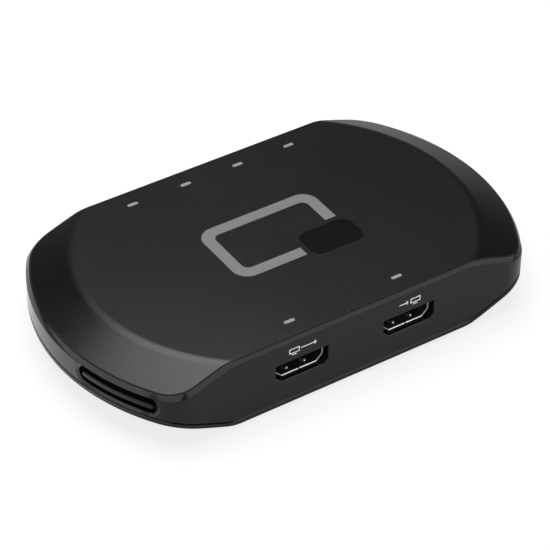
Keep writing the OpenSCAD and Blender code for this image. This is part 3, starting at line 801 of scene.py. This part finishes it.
print("light marks at", [tuple(round(v / MM, 1) for v in mark_place(light)) for light in LIGHTS])

# %% [markdown]
# ### The recess for the inlay
# The recess has the outline of the inlay, grown by a hair. It could be drawn again, but the solid already
# has that outline: a copy of it, pushed outwards and stretched upright, is the cutter.

# %% Recess for the inlay
INLAY_GAP = 0.06 * MM
INLAY_T = 0.5 * MM
FLAT_ANGLE = math.radians(1)
LEAST_WIDEN = 0.3


def solid_copy(name, node):
    """A new piece with the shape of a solid, its flat triangles joined into whole faces."""
    shape = bmesh.new()
    shape.from_mesh(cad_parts[node].data)
    bmesh.ops.remove_doubles(shape, verts=shape.verts, dist=WELD)
    bmesh.ops.dissolve_limit(shape, angle_limit=FLAT_ANGLE, verts=shape.verts, edges=shape.edges)
    mesh = bpy.data.meshes.new(name)
    shape.to_mesh(mesh)
    shape.free()
    piece = bpy.data.objects.new(name, mesh)
    bpy.context.collection.objects.link(piece)
    return piece


def grown_cutter(node, grow, low, high):
    """The solid itself, pushed out sideways by a hair and stretched to the given heights."""
    cutter = solid_copy("recess", node)
    mid = middle(node).z
    shape = bmesh.new()
    shape.from_mesh(cutter.data)
    shape.normal_update()
    moves = {}
    for vert in shape.verts:
        flat = [f.normal for f in vert.link_faces if abs(f.normal.z) < 0.5]
        push = sum(flat, Vector()).normalized() if flat else Vector()
        widen = push.dot(flat[0]) if flat else 1
        moves[vert] = push * grow / max(widen, LEAST_WIDEN)
    for vert, move in moves.items():
        vert.co += move
        vert.co.z = high if vert.co.z > mid else low
    shape.to_mesh(cutter.data)
    shape.free()
    return cutter


def inlay_recesses():
    for node in ("inlay_frame", "inlay_window"):
        yield grown_cutter(node, INLAY_GAP, top_z - INLAY_T, top_z + MM)


combine(lid, list(light_slots()) + list(inlay_recesses()))
print("lid with its slots:", len(lid.data.polygons), "faces")

# %% Posts under the lid
POST_X, POST_Y = 43.976 * MM, 24 * MM
POST_R = 3 * MM
POST_BORE = 1.16 * MM
POST_CHAMFER = 0.3 * MM
post_low = under_z + 6 * MM
bore_top = under_z + 15 * MM


def turned(name, centre, profile, steps=40):
    """A closed solid turned about an upright axis from (radius, height) points, with flat ends."""
    x, y = centre[0], centre[1]
    angles = [math.tau * i / steps for i in range(steps)]
    rings = []
    for radius, height in profile:
        rings.append([(x + radius * math.cos(a), y + radius * math.sin(a), height) for a in angles])
    return loft(name, rings)


def four_places(x, y):
    return [(sx * x, sy * y) for sx in (-1, 1) for sy in (-1, 1)]


def lid_posts():
    high = top_at(*post_places[0]) - COVER_T / 2
    outside = [(POST_R - POST_CHAMFER, post_low), (POST_R, post_low + POST_CHAMFER), (POST_R, high)]
    for place in post_places:
        post = turned("post", place, outside)
        bore = turned("bore", place, [(POST_BORE, post_low - MM), (POST_BORE, bore_top)])
        yield combine(post, [bore])


post_places = four_places(POST_X, POST_Y)
combine(lid, list(lid_posts()), "UNION")
shade(lid, case_normal)
dress(lid, LID_BLACK)
settle(lid, "cover_black", "top_cover")

# %% [markdown]
# ## The base
# The base mirrors the lid from below: a dished plate with a lip that locates it inside the wall. Four seats
# hold the feet, four deep counterbores hide the case screws, and short standoffs carry the board.

# %% Base plate
BASE_EDGE = 0.12 * MM
SEAM_CHAMFER = 0.5 * MM


def base_levels():
    inner = SKIN + SEAM_CHAMFER
    corners = [(WALL, BASE_T), (inner, BASE_T), (SKIN, BASE_T - SEAM_CHAMFER), (SKIN, 0), (WALL, 0)]
    edge = rounded(corners, [0, 0, BASE_EDGE, BASE_EDGE, 0])
    return [(inset, over_underside(rise)) for inset, rise in edge]


base = plate_solid("case_base", base_levels())
print("base plate:", len(base.data.polygons), "faces")

# %% Lip, bosses and standoffs
LIP_OUT, LIP_W, LIP_H = 2.2 * MM, 1.2 * MM, 1.2 * MM
BOSS_R, BOSS_H = 3.6 * MM, 6 * MM
STANDOFF_R = 2.6 * MM
HOLE_INSET, HOLE_Y = 2.6 * MM, 27.5 * MM
board_low, board_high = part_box("main_board")
hole_places = four_places(board_high.x - HOLE_INSET, HOLE_Y)


def base_lip():
    low, high = over_underside(BASE_T / 2), over_underside(BASE_T + LIP_H)
    within = LIP_OUT + LIP_W
    return ring_solid("lip", [(LIP_OUT, low), (LIP_OUT, high), (within, high), (within, low)])


def base_towers():
    for place in post_places:
        low = under_at(*place) + BASE_T / 2
        yield turned("boss", place, [(BOSS_R, low), (BOSS_R, under_z + BOSS_H)])
    for place in hole_places:
        yield turned("standoff", place, [(STANDOFF_R, under_z + BASE_T / 2), (STANDOFF_R, board_low.z)])


combine(base, [base_lip()] + list(base_towers()), "UNION")
print("base with its lip, bosses and standoffs:", len(base.data.polygons), "faces")

# %% Holes and seats in the base
FEET = ["front_left", "front_right", "rear_left", "rear_right"]
FOOT_SEAT = 0.6 * MM
FOOT_GAP = 0.15 * MM
COUNTERBORE_R, COUNTERBORE = 2.5 * MM, 3 * MM
SHANK_R = 1.35 * MM
PILOT_R = 1.01 * MM


def base_holes():
    below = under_z - MM
    for place in post_places:
        yield turned("counterbore", place, [(COUNTERBORE_R, below), (COUNTERBORE_R, under_z + COUNTERBORE)])
        yield turned("shank_hole", place, [(SHANK_R, under_z + MM), (SHANK_R, under_z + BOSS_H + MM)])
    for place in hole_places:
        yield turned("pilot_hole", place, [(PILOT_R, under_z + BASE_T), (PILOT_R, board_high.z)])
    for foot in FEET:
        low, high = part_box(f"foot_{foot}")
        centre = (low + high) / 2
        seat_r = (high.x - low.x) / 2 + FOOT_GAP
        yield turned("seat", centre, [(seat_r, below), (seat_r, under_z + FOOT_SEAT)], 64)


combine(base, list(base_holes()))
shade(base, case_normal)
dress(base, BASE_BLACK)
settle(base, "base_black", "base_plate")

# %% [markdown]
# ## Feet
# A foot is a soft rubber disc. It is turned from a short profile with a round lower edge and a shallow dish
# underneath, so that its rim grips the table.

# %% Rubber feet
FOOT_RUBBER = finish("foot_rubber", grey(0.016), 0.72, grain=3, depth=0.02, smudge=0.1)
FOOT_EYE = 0.2 * MM
FOOT_DISH = 0.15 * MM
FOOT_DISH_R, FOOT_RIM_R = 3.4 * MM, 3.8 * MM
FOOT_ROUNDS = [0, 0.3 * MM, 0.15 * MM, 0.4 * MM, 0.1 * MM, 0]


def rubber_foot(foot):
    low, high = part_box(f"foot_{foot}")
    centre, r = (low + high) / 2, (high.x - low.x) / 2
    corners = [(FOOT_EYE, FOOT_DISH), (FOOT_DISH_R, FOOT_DISH), (FOOT_RIM_R, 0), (r, 0), (r, high.z),
               (FOOT_EYE, high.z)]
    piece = turned(f"rubber_foot_{foot}", centre, rounded(corners, FOOT_ROUNDS), 64)
    shade(piece)
    dress(piece, FOOT_RUBBER)
    return settle(piece, "foot_rubber", f"foot_{foot}")


for foot in FEET:
    rubber_foot(foot)

# %% [markdown]
# ## Louvres
# In each slot stands one long bar, bent with the wall and a little behind its face. It is moulded on a
# carrier plate with two slits, which lies against the inside of the wall, so only the bar shows.

# %% Louvres in the slots
LOUVRE_BLACK = finish("louvre_black", grey(0.004), 0.34, grain=9, depth=0.003, Specular_IOR_Level=0.4)
BAR_BACK = 0.35 * MM
NOSE_H = 1.3 * MM
BAR_JOIN = 1 * MM
CARRIER_OUT, CARRIER_BACK = 0.15 * MM, 1.55 * MM


def bar_layers():
    """The bar's layers. A wide round runs along its upper edge and a narrow one along its lower edge."""
    upper, lower, steps = 0.5 * MM, 0.12 * MM, 6
    drop = (BAR_H - NOSE_H) / 2
    layers = []
    for i in range(steps + 1):
        a = math.pi / 2 * i / steps
        top, bottom = upper * (1 - math.sin(a)), lower * (1 - math.sin(a))
        depth = BAR_BACK + (upper + lower) / 2 * (1 - math.cos(a))
        size = (BAR_L - top - bottom, NOSE_H - top - bottom)
        layers.append((END_R - depth, *size, (bottom - top) / 2 - drop))
    return layers + [(END_R - WALL - BAR_JOIN, BAR_L, NOSE_H, -drop)]


def louvre(name, side):
    margin, web = 0.6 * MM, 0.1 * MM
    slit = (VENT_H - BAR_H) / 2
    out, back = END_R - WALL - CARRIER_OUT, END_R - WALL - CARRIER_BACK
    size = (VENT_L + 2 * margin, VENT_H + 2 * margin)
    plate = curved_block("carrier", side, [(out, *size), (back, *size)])
    cuts = []
    for s in (-1, 1):
        gap = (BAR_L - BAR_H, slit - 2 * web)
        layers = [(out + MM, *gap), (back - MM, *gap)]
        cuts.append(curved_block("slit", side, layers, VENT_Z + s * (BAR_H + slit) / 2))
    combine(plate, cuts)
    piece = combine(curved_block(f"louvre_{name}", side, bar_layers()), [plate], "UNION")
    shade(piece)
    dress(piece, LOUVRE_BLACK)
    return settle(piece, "louvre_black", f"vent_louvre_{name}")


louvre("left", -1)
louvre("right", 1)

# %% [markdown]
# ## Inlay and light marks
# The inlay is two pieces of glossy plastic that lie flush in the lid. The six marks are the frosted tips of
# light pipes. Their solids have the right shape, so they are copied, and only their edges are softened.

# %% Softened copies of solids
SOFT_ANGLE = math.radians(35)


def softened(name, node, slot, material, width):
    """A copy of a solid with its sharp edges rounded by the given width in millimetres."""
    piece = solid_copy(name, node)
    bevel = piece.modifiers.new("soft edges", "BEVEL")
    bevel.width = width * MM
    bevel.segments = 2
    bevel.limit_method = "ANGLE"
    bevel.angle_limit = SOFT_ANGLE
    bevel.use_clamp_overlap = True
    piece.modifiers.new("flat faces stay flat", "WEIGHTED_NORMAL")
    piece.data.shade_smooth()
    evaluated = piece.evaluated_get(bpy.context.evaluated_depsgraph_get())
    mesh = bpy.data.meshes.new_from_object(evaluated)
    piece.modifiers.clear()
    piece.data = mesh
    dress(piece, material)
    return settle(piece, slot, node)


print("edges over", round(math.degrees(SOFT_ANGLE)), "degrees will be softened")

# %% Inlay and light marks
INLAY_GREY = finish("inlay_grey", grey(0.185), 0.22, grain=2, smudge=0.04, fleck=0.03, Coat_Weight=0.3)
INLAY_BLACK = finish("inlay_black", grey(0.004), 0.16, grain=2, smudge=0.04, fleck=0.03,
                     Specular_IOR_Level=0.12)
PIPE_FROSTED = finish("pipe_frosted", (0.25, 0.25, 0.25), 0.45, grain=6, depth=0.004, fleck=0.06)
softened("glossy_frame", "inlay_frame", "inlay_grey", INLAY_GREY, 0.05)
softened("glossy_window", "inlay_window", "inlay_black", INLAY_BLACK, 0.05)
for light in LIGHTS:
    softened(f"light_mark_{light}", f"light_pipe_{light}", "pipe_frosted", PIPE_FROSTED, 0.06)

# %% [markdown]
# ## Video sockets
# A video socket is a strip of nickel-plated sheet, folded round a six-sided mouth until its two ends meet
# in a seam at the bottom. Sprung fingers stamped out of its floor and roof grip the plug. The strip is
# swept along the mouth's outline with its seam left open, and each finger is a bent strip of its own. Deep
# in the mouth the shade is painted: the shell there gets a much darker metal, and only the front edge and
# the front-facing tips of the fingers keep the plain nickel, so the shell has two metals.

# %% Folded shells
SOCKET_METAL = finish("socket_metal", (0.62, 0.62, 0.6), 0.24, grain=5, depth=0.001, fleck=0.05, Metallic=1.0)
# Painted shade: this dark metal stands for the shade deep in the socket mouths, not for a duller plating.
PAINTED_SHADE_METAL = finish("painted_shade_metal", (0.16, 0.16, 0.155), 0.42, grain=5, depth=0.002, fleck=0.1, Metallic=1.0)
MOUTH_HALF_W = 7 * MM
SEAM_HALF = 0.2 * MM
SHELL_CORNER = 0.5 * MM


def mouth_line(grow):
    """The mouth's outline from one side of the seam to the other, at the given distance from the inside."""
    x, z, c = MOUTH_HALF_W + grow, MOUTH_H / 2 + grow, CUT_CORNER + grow * (2 - math.sqrt(2))
    right = [(SEAM_HALF, -z), (x - c, -z), (x, c - z), (x, z)]
    left = [(-x, z), (-x, c - z), (c - x, -z), (-SEAM_HALF, -z)]
    return rounded(right + left, [0] + [SHELL_CORNER + grow] * 6 + [0], 5)


def sheet_profile(front, back):
    """(share of the thickness, y) round the cut sheet, with its inner edge flared to lead a plug in."""
    flare, corner = 0.17 * MM, 0.12 * MM
    return [(0, back), (0, front + flare), (0.5, front), (0.65, front), (1, front + corner), (1, back)]


def folded_shell(side):
    low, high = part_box(f"video_{side}_shell")
    centre_x = (low.x + high.x) / 2
    rings = []
    for share, y in sheet_profile(low.y, high.y):
        rings.append([(centre_x + x, y, mouth_z + z) for x, z in mouth_line(share * SHELL_T)])
    count = len(rings[0])
    points = [p for ring in rings for p in ring]
    faces = []
    for k in range(len(rings)):
        a, b = k * count, (k + 1) % len(rings) * count
        faces += [(a + i, a + i + 1, b + i + 1, b + i) for i in range(count - 1)]
    for i in (0, count - 1):
        faces.append(tuple(k * count + i for k in range(len(rings))))
    return new_piece(f"folded_shell_{side}", points, faces)


print("a shell follows", len(mouth_line(0)), "points round its mouth")

# %% Sprung fingers
FINGER_X = 2.75 * MM
FINGER_W = 1.3 * MM
FINGER_T = 0.25 * MM
WINDOW_START = 1.4 * MM
WINDOW_L = 4.6 * MM
WINDOW_SLIT = 0.3 * MM
WINDOW_ROUND = 0.2 * MM
TIP_SHARE, TAPER_MM = 0.35, 1.5
FINGER_LINE_MM = [(6.1, -0.05), (5.4, 0.0), (4.2, 0.28), (3.0, 0.52), (2.3, 0.58), (1.95, 0.5), (1.5, 0.06)]


def finger_windows(centre_x, front):
    half = FINGER_W / 2 + WINDOW_SLIT
    reach = MOUTH_H / 2 + 2 * SHELL_T
    corners = [(-half, 0), (half, 0), (half, WINDOW_L), (-half, WINDOW_L)]
    outline = rounded(corners, [WINDOW_ROUND] * 4, 3, True)
    for s in (-1, 1):
        place = (centre_x + s * FINGER_X, front + WINDOW_START)
        yield upright_cutter(outline, *place, mouth_z - reach, mouth_z + reach)


def finger_strip(centre_x, front, s, facing):
    """One sprung finger: rooted at the back of its window, bowed into the mouth, with its tip turned away."""
    tip = FINGER_LINE_MM[-1][0]
    points, faces = [], []
    for along, rise in FINGER_LINE_MM:
        half = FINGER_W / 2 * min(1, TIP_SHARE + (1 - TIP_SHARE) * (along - tip) / TAPER_MM)
        for x, thick in ((-1, 0), (1, 0), (1, 1), (-1, 1)):
            z = facing * (MOUTH_H / 2 - rise * MM + thick * FINGER_T)
            points.append((centre_x + s * FINGER_X + x * half, front + along * MM, mouth_z + z))
    for k in range(len(FINGER_LINE_MM) - 1):
        faces += bridge(list(range(4 * k, 4 * k + 4)), list(range(4 * k + 4, 4 * k + 8)))
    last = len(points) - 4
    return new_piece("finger", points, faces + [(0, 1, 2, 3), (last, last + 1, last + 2, last + 3)])


print("each finger bends along", len(FINGER_LINE_MM), "points")

# %% Whole sockets
LEG_HALF = 0.8 * MM
LEG_ROUND = 0.1 * MM
LEG_INSET = 2.5 * MM
# Faces nearer the front than this keep the plain metal; deeper faces get the painted shade.
UNSHADED_EDGE = 0.14 * MM
TIP_NEAR, TIP_FAR = 1.45 * MM, 1.95 * MM


def leg_solids(centre_x, low, high):
    """Four legs that stand the shell on the board."""
    half = SHELL_T / 2
    corners = [(-half, -LEG_HALF), (half, -LEG_HALF), (half, LEG_HALF), (-half, LEG_HALF)]
    outline = rounded(corners, [LEG_ROUND] * 4, 2, True)
    for s in (-1, 1):
        for along in (LEG_INSET, high.y - low.y - LEG_INSET):
            x = centre_x + s * (MOUTH_HALF_W + half)
            yield upright_cutter(outline, x, low.y + along, low.z, mouth_z)


def keeps_plain_metal(face, front):
    """True on the shell's front edge and on the finger tips that face the front, which keep the plain metal;
    elsewhere the shell gets painted shade.
    """
    depth = face.center.y - front
    return depth < UNSHADED_EDGE or TIP_NEAR < depth < TIP_FAR and face.normal.y < -0.5


def video_socket(side):
    shell = folded_shell(side)
    low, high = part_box(f"video_{side}_shell")
    centre_x = (low.x + high.x) / 2
    combine(shell, list(finger_windows(centre_x, low.y)))
    fingers = [finger_strip(centre_x, low.y, s, facing) for s in (-1, 1) for facing in (-1, 1)]
    combine(shell, fingers, "UNION")
    combine(shell, list(leg_solids(centre_x, low, high)), "UNION")
    shade(shell)
    # Painted shade: all faces get the dark metal, and only the front edge and the front-facing finger tips
    # get the plain nickel.
    dress(shell, PAINTED_SHADE_METAL)
    shell.data.materials.append(SOCKET_METAL)
    for face in shell.data.polygons:
        face.material_index = int(keeps_plain_metal(face, low.y))
    return settle(shell, "socket_metal", f"video_{side}_shell")


for side in ("out", "in"):
    video_socket(side)

# %% [markdown]
# ## Signs over the sockets
# Small white signs are pad-printed on the wall over the two video sockets: a screen with an arrow that
# leaves it, and a screen with an arrow that runs into it. A print is only a film of ink, so it stands a
# hundredth of a millimetre proud of the wall.

# %% Printed signs
PRINT_WHITE = finish("print_white", (0.85, 0.85, 0.85), 0.55, grain=8, depth=0.002, fleck=0.08)
INK = 0.012 * MM
INK_BED = 0.004 * MM
STROKE = 0.3 * MM
STROKE_ROUND = 0.08 * MM
TIP_ROUND = 0.06 * MM
SIGN_H = 1.6 * MM
SCREEN_W = 3.2 * MM
STAND_INSET = 0.28
sign_z = under_z + 17 * MM


def ink_film(name, outlines, centre_x):
    """One thin film of ink for each closed outline, on the front wall."""
    points, faces = [], []
    for outline in outlines:
        for y in (-side_y + SKIN + INK_BED, -side_y + SKIN - INK):
            points += [(centre_x + x, y, sign_z + z) for x, z in outline]
        count = len(outline)
        far = list(range(len(points) - 2 * count, len(points) - count))
        near = list(range(len(points) - count, len(points)))
        faces += bridge(far, near) + [tuple(far), tuple(near)]
    return new_piece(name, points, faces)


def bar(x0, x1, z0, z1):
    return rounded([(x0, z0), (x1, z0), (x1, z1), (x0, z1)], [STROKE_ROUND] * 4, 2, True)


def screen_sign(x):
    """Four strokes of a screen, with its stand a little below them."""
    half = SIGN_H / 2
    far = x + SCREEN_W
    stand = -half - 2 * STROKE
    return [bar(x, far, half - STROKE, half), bar(x, far, -half, -half + STROKE),
            bar(x, x + STROKE, -half + STROKE, half - STROKE),
            bar(far - STROKE, far, -half + STROKE, half - STROKE),
            bar(x + SCREEN_W * STAND_INSET, x + SCREEN_W * (1 - STAND_INSET), stand, stand + STROKE)]


def arrow_sign(x, length):
    """A shaft and a head that points right."""
    head = 0.75 * MM
    tip = [(x + length - head, -head), (x + length, 0), (x + length - head, head)]
    return [bar(x, x + length - head, -STROKE / 2, STROKE / 2), rounded(tip, [TIP_ROUND] * 3, 2, True)]


def sign(side):
    x = middle(f"video_{side}_tongue").x
    if side == "out":
        outlines = screen_sign(x=-4.2 * MM) + arrow_sign(x=-0.6 * MM, length=4.8 * MM)
    else:
        outlines = arrow_sign(x=-3.4 * MM, length=2.9 * MM) + screen_sign(x=0.1 * MM)
    piece = ink_film(f"sign_{side}", outlines, x)
    shade(piece)
    dress(piece, PRINT_WHITE)
    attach(piece, "root")
    print(piece.name, "has", len(outlines), "strokes")


sign("out")
sign("in")

# %% [markdown]
# ## Inside the case
# Through the openings only the contacts, the oval shell and the jacks show. Nothing else of the board can
# be seen on a closed box, but the model can be opened, so every part keeps its own finish. The solids are
# simple blocks, tubes and plates as on a real board, and they only need broken edges and materials.

# %% Parts that show through the openings
SOCKET_BLACK = finish("socket_black", grey(0.006), 0.55, grain=7, depth=0.003)
JACK_BLACK = finish("jack_black", grey(0.012), 0.42, grain=7, depth=0.003)
CONTACT_GOLD = finish("contact_gold", (0.72, 0.5, 0.17), 0.26, grain=4, fleck=0.05, Metallic=1.0)
for port in ("video_out", "video_in", "data"):
    softened(f"{port}_contact_carrier", f"{port}_tongue", "socket_black", SOCKET_BLACK, 0.1)
    softened(f"{port}_contact_strips", f"{port}_contacts", "contact_gold", CONTACT_GOLD, 0.03)
softened("oval_shell", "data_shell", "socket_metal", SOCKET_METAL, 0.08)
for port in ("line_out", "line_in", "mic"):
    softened(f"{port}_socket", f"{port}_jack", "jack_black", JACK_BLACK, 0.2)

# %% Finishes on the board
TIN = finish("tin", (0.56, 0.55, 0.51), 0.34, grain=4, fleck=0.06, Metallic=1.0)
STEEL = finish("screw_steel", (0.46, 0.46, 0.45), 0.32, grain=4, fleck=0.08, Metallic=1.0)
BOARD_GREEN = finish("board_green", (0.015, 0.085, 0.04), 0.34, grain=1.5, depth=0.004, worn=(0.3, 0.3, 0.2))
LED_RESIN = finish("led_resin", (0.75, 0.7, 0.5), 0.3, grain=2, fleck=0.05)
CHIP_EPOXY = finish("chip_epoxy", grey(0.018), 0.6, grain=6, depth=0.006)
PAD_BLUE = finish("pad_blue", (0.25, 0.35, 0.45), 0.7, grain=2, depth=0.01)
ALUMINIUM = finish("sink_aluminium", (0.42, 0.43, 0.44), 0.4, grain=3, depth=0.004, Metallic=1.0)
CAN_STEEL = finish("can_steel", (0.6, 0.6, 0.58), 0.3, grain=3, fleck=0.05, Metallic=1.0)
INDUCTOR_GREY = finish("inductor_grey", grey(0.05), 0.62, grain=3, depth=0.015, fleck=0.3)
CERAMIC_TAN = finish("ceramic_tan", (0.43, 0.32, 0.19), 0.42, grain=4, fleck=0.1)
print("the board's finishes are ready")

# %% Board and its parts, with the width of their softened edges in millimetres
BOARD_PARTS = [
    ("main_board", "board_green", BOARD_GREEN, 0.1),
    ("case_screws", "screw_steel", STEEL, 0.08),
    ("board_screws", "screw_steel", STEEL, 0.08),
    ("indicator_leds", "led_pale", LED_RESIN, 0.06),
    ("jack_terminals", "terminal_tin", TIN, 0.05),
    ("capture_processor", "chip_black", CHIP_EPOXY, 0.08),
    ("thermal_pad", "pad_blue", PAD_BLUE, 0.06),
    ("heat_sink", "sink_aluminium", ALUMINIUM, 0.12),
    ("video_receiver", "chip_black", CHIP_EPOXY, 0.03),
    ("video_transmitter", "chip_black", CHIP_EPOXY, 0.03),
    ("memory_chips", "chip_black", CHIP_EPOXY, 0.06),
    ("data_controller", "chip_black", CHIP_EPOXY, 0.06),
    ("audio_codec", "chip_black", CHIP_EPOXY, 0.06),
    ("flash_memory", "chip_black", CHIP_EPOXY, 0.06),
    ("crystals", "crystal_can", CAN_STEEL, 0.15),
    ("power_inductors", "inductor_grey", INDUCTOR_GREY, 0.2),
    ("polymer_capacitors", "capacitor_can", CAN_STEEL, 0.2),
    ("ceramic_capacitors", "ceramic_tan", CERAMIC_TAN, 0.06),
    ("shield_can", "shield_metal", CAN_STEEL, 0.1),
]
for node, slot, material, width in BOARD_PARTS:
    softened(f"{node}_piece", node, slot, material, width)

# %% [markdown]
# ## The table
# The box stands on a plain white table. For the camera the table is near white and keeps a soft shadow
# under the box. A black object shows mostly what it mirrors, and a wholly white table would wash its walls
# out. So in reflections the table is a grey paper with a white card at the left rear, which a photographer
# would lay there. Seen from below the table is clear, so that the underside of the box can be looked at.

# %% Shaders for the table
def diffuse_node(tree, level):
    node = tree.nodes.new("ShaderNodeBsdfDiffuse")
    node.inputs["Color"].default_value = (level, level, level, 1)
    return node.outputs["BSDF"]


def lit_paper(tree, glow, matt):
    """A steady glow plus a diffuse part that takes the shadows."""
    light = tree.nodes.new("ShaderNodeEmission")
    light.inputs["Strength"].default_value = glow
    both = tree.nodes.new("ShaderNodeAddShader")
    tree.links.new(diffuse_node(tree, matt), both.inputs[0])
    tree.links.new(light.outputs["Emission"], both.inputs[1])
    return both.outputs["Shader"]


def mix_shader(tree, share, first, second):
    node = tree.nodes.new("ShaderNodeMixShader")
    for socket, source in zip(node.inputs, (share, first, second)):
        tree.links.new(source, socket)
    return node.outputs["Shader"]


print("shaders for the table are ready")

# %% Table, with its (glow, diffuse) as the camera and as reflections see it
TABLE_HALF = 3.0
TABLE_PLAIN = 0.8
TABLE_SEEN = (0.78, 0.22)
TABLE_MIRRORED = (0.27, 0.19)
CARD_SIDE = (-0.8, 0.6, 0)
CARD_START, CARD_FULL = 36 * MM, 52 * MM


def card_mask(tree, position):
    """Zero on the paper and one on the card, by the distance from the box towards the left rear."""
    across = tree.nodes.new("ShaderNodeVectorMath")
    across.operation = "DOT_PRODUCT"
    tree.links.new(position, across.inputs[0])
    across.inputs[1].default_value = CARD_SIDE
    card = tree.nodes.new("ShaderNodeMapRange")
    card.inputs["From Min"].default_value = CARD_START
    card.inputs["From Max"].default_value = CARD_FULL
    tree.links.new(across.outputs["Value"], card.inputs["Value"])
    return card.outputs["Result"]


def table_material():
    material = bpy.data.materials.new("table_white")
    material.use_nodes = True
    tree = material.node_tree
    tree.nodes.remove(tree.nodes["Principled BSDF"])
    plain = diffuse_node(tree, TABLE_PLAIN)
    bright = lit_paper(tree, *TABLE_SEEN)
    grey_paper = lit_paper(tree, *TABLE_MIRRORED)
    path = tree.nodes.new("ShaderNodeLightPath")
    seen = math_node(tree, "MAXIMUM", path.outputs["Is Camera Ray"], path.outputs["Is Transmission Ray"])
    place = tree.nodes.new("ShaderNodeNewGeometry")
    white = tree.nodes.new("ShaderNodeEmission").outputs["Emission"]
    mirrored = mix_shader(tree, card_mask(tree, place.outputs["Position"]), grey_paper, white)
    look = mix_shader(tree, path.outputs["Is Glossy Ray"], plain, mirrored)
    look = mix_shader(tree, seen, look, bright)
    clear = tree.nodes.new("ShaderNodeBsdfTransparent").outputs["BSDF"]
    look = mix_shader(tree, place.outputs["Backfacing"], look, clear)
    tree.links.new(look, tree.nodes["Material Output"].inputs["Surface"])
    return material


def table():
    half = TABLE_HALF
    corners = [(-half, -half, 0), (half, -half, 0), (half, half, 0), (-half, half, 0)]
    piece = new_piece("table", corners, [(0, 1, 2, 3)])
    dress(piece, table_material())


table()
print("the table is", 2 * TABLE_HALF, "m wide")

# %% [markdown]
# ## Lights
# One large soft light hangs over the box, a little behind it, and its edge fades over the lid's creases. A
# small lamp would leave a hard bright line there. A faint panel far behind shows mostly in the flat of the
# lid and lifts it evenly. Four fills, at the front, the near left corner, the left and the right, show in
# the bevels and walls.


# %% Lights
def soft_light(name, place, aim, size, power):
    """An area light at a place in metres, turned to its aim, with its two sides in metres and its watts."""
    light = bpy.data.objects.new(name, bpy.data.lights.new(name, "AREA"))
    light.data.shape = "RECTANGLE"
    light.data.size, light.data.size_y = size
    light.data.energy = power
    light.visible_camera = False
    light.location = place
    light.rotation_euler = (Vector(aim) - Vector(place)).to_track_quat("-Z", "Y").to_euler()
    bpy.context.collection.objects.link(light)


soft_light("overhead", (-0.016, 0.112, 0.6), (0, 0, 0), (0.54, 0.54), 3.9)
soft_light("back_panel", (0.3, 0.62, 0.58), (0, 0, 0), (0.8, 0.8), 0.22)
soft_light("front_fill", (0.2, -0.75, 0.45), (0, 0, 0), (1.2, 0.6), 2.3)
soft_light("corner_fill", (-0.55, -0.38, 0.5), (0, 0, 0), (0.6, 0.5), 1.0)
soft_light("left_panel", (-0.44, 0.15, 0.19), (0, 0, 0.02), (0.52, 0.28), 0.58)
soft_light("right_panel", (0.62, -0.34, 0.16), (0, 0, 0.02), (0.5, 0.2), 0.28)

# %% Air round the table, white for the camera and dim for the box
AIR_LEVEL = 0.085


def studio_air():
    world = bpy.data.worlds.new("studio")
    world.use_nodes = True
    tree = world.node_tree
    path = tree.nodes.new("ShaderNodeLightPath")
    white = math_node(tree, "MAXIMUM", path.outputs["Is Camera Ray"], AIR_LEVEL)
    tree.links.new(white, tree.nodes["Background"].inputs["Strength"])
    tree.nodes["Background"].inputs["Color"].default_value = (1, 1, 1, 1)
    bpy.context.scene.world = world


studio_air()
bpy.context.scene.view_settings.view_transform = "Standard"
print("the air lights the box at", AIR_LEVEL)
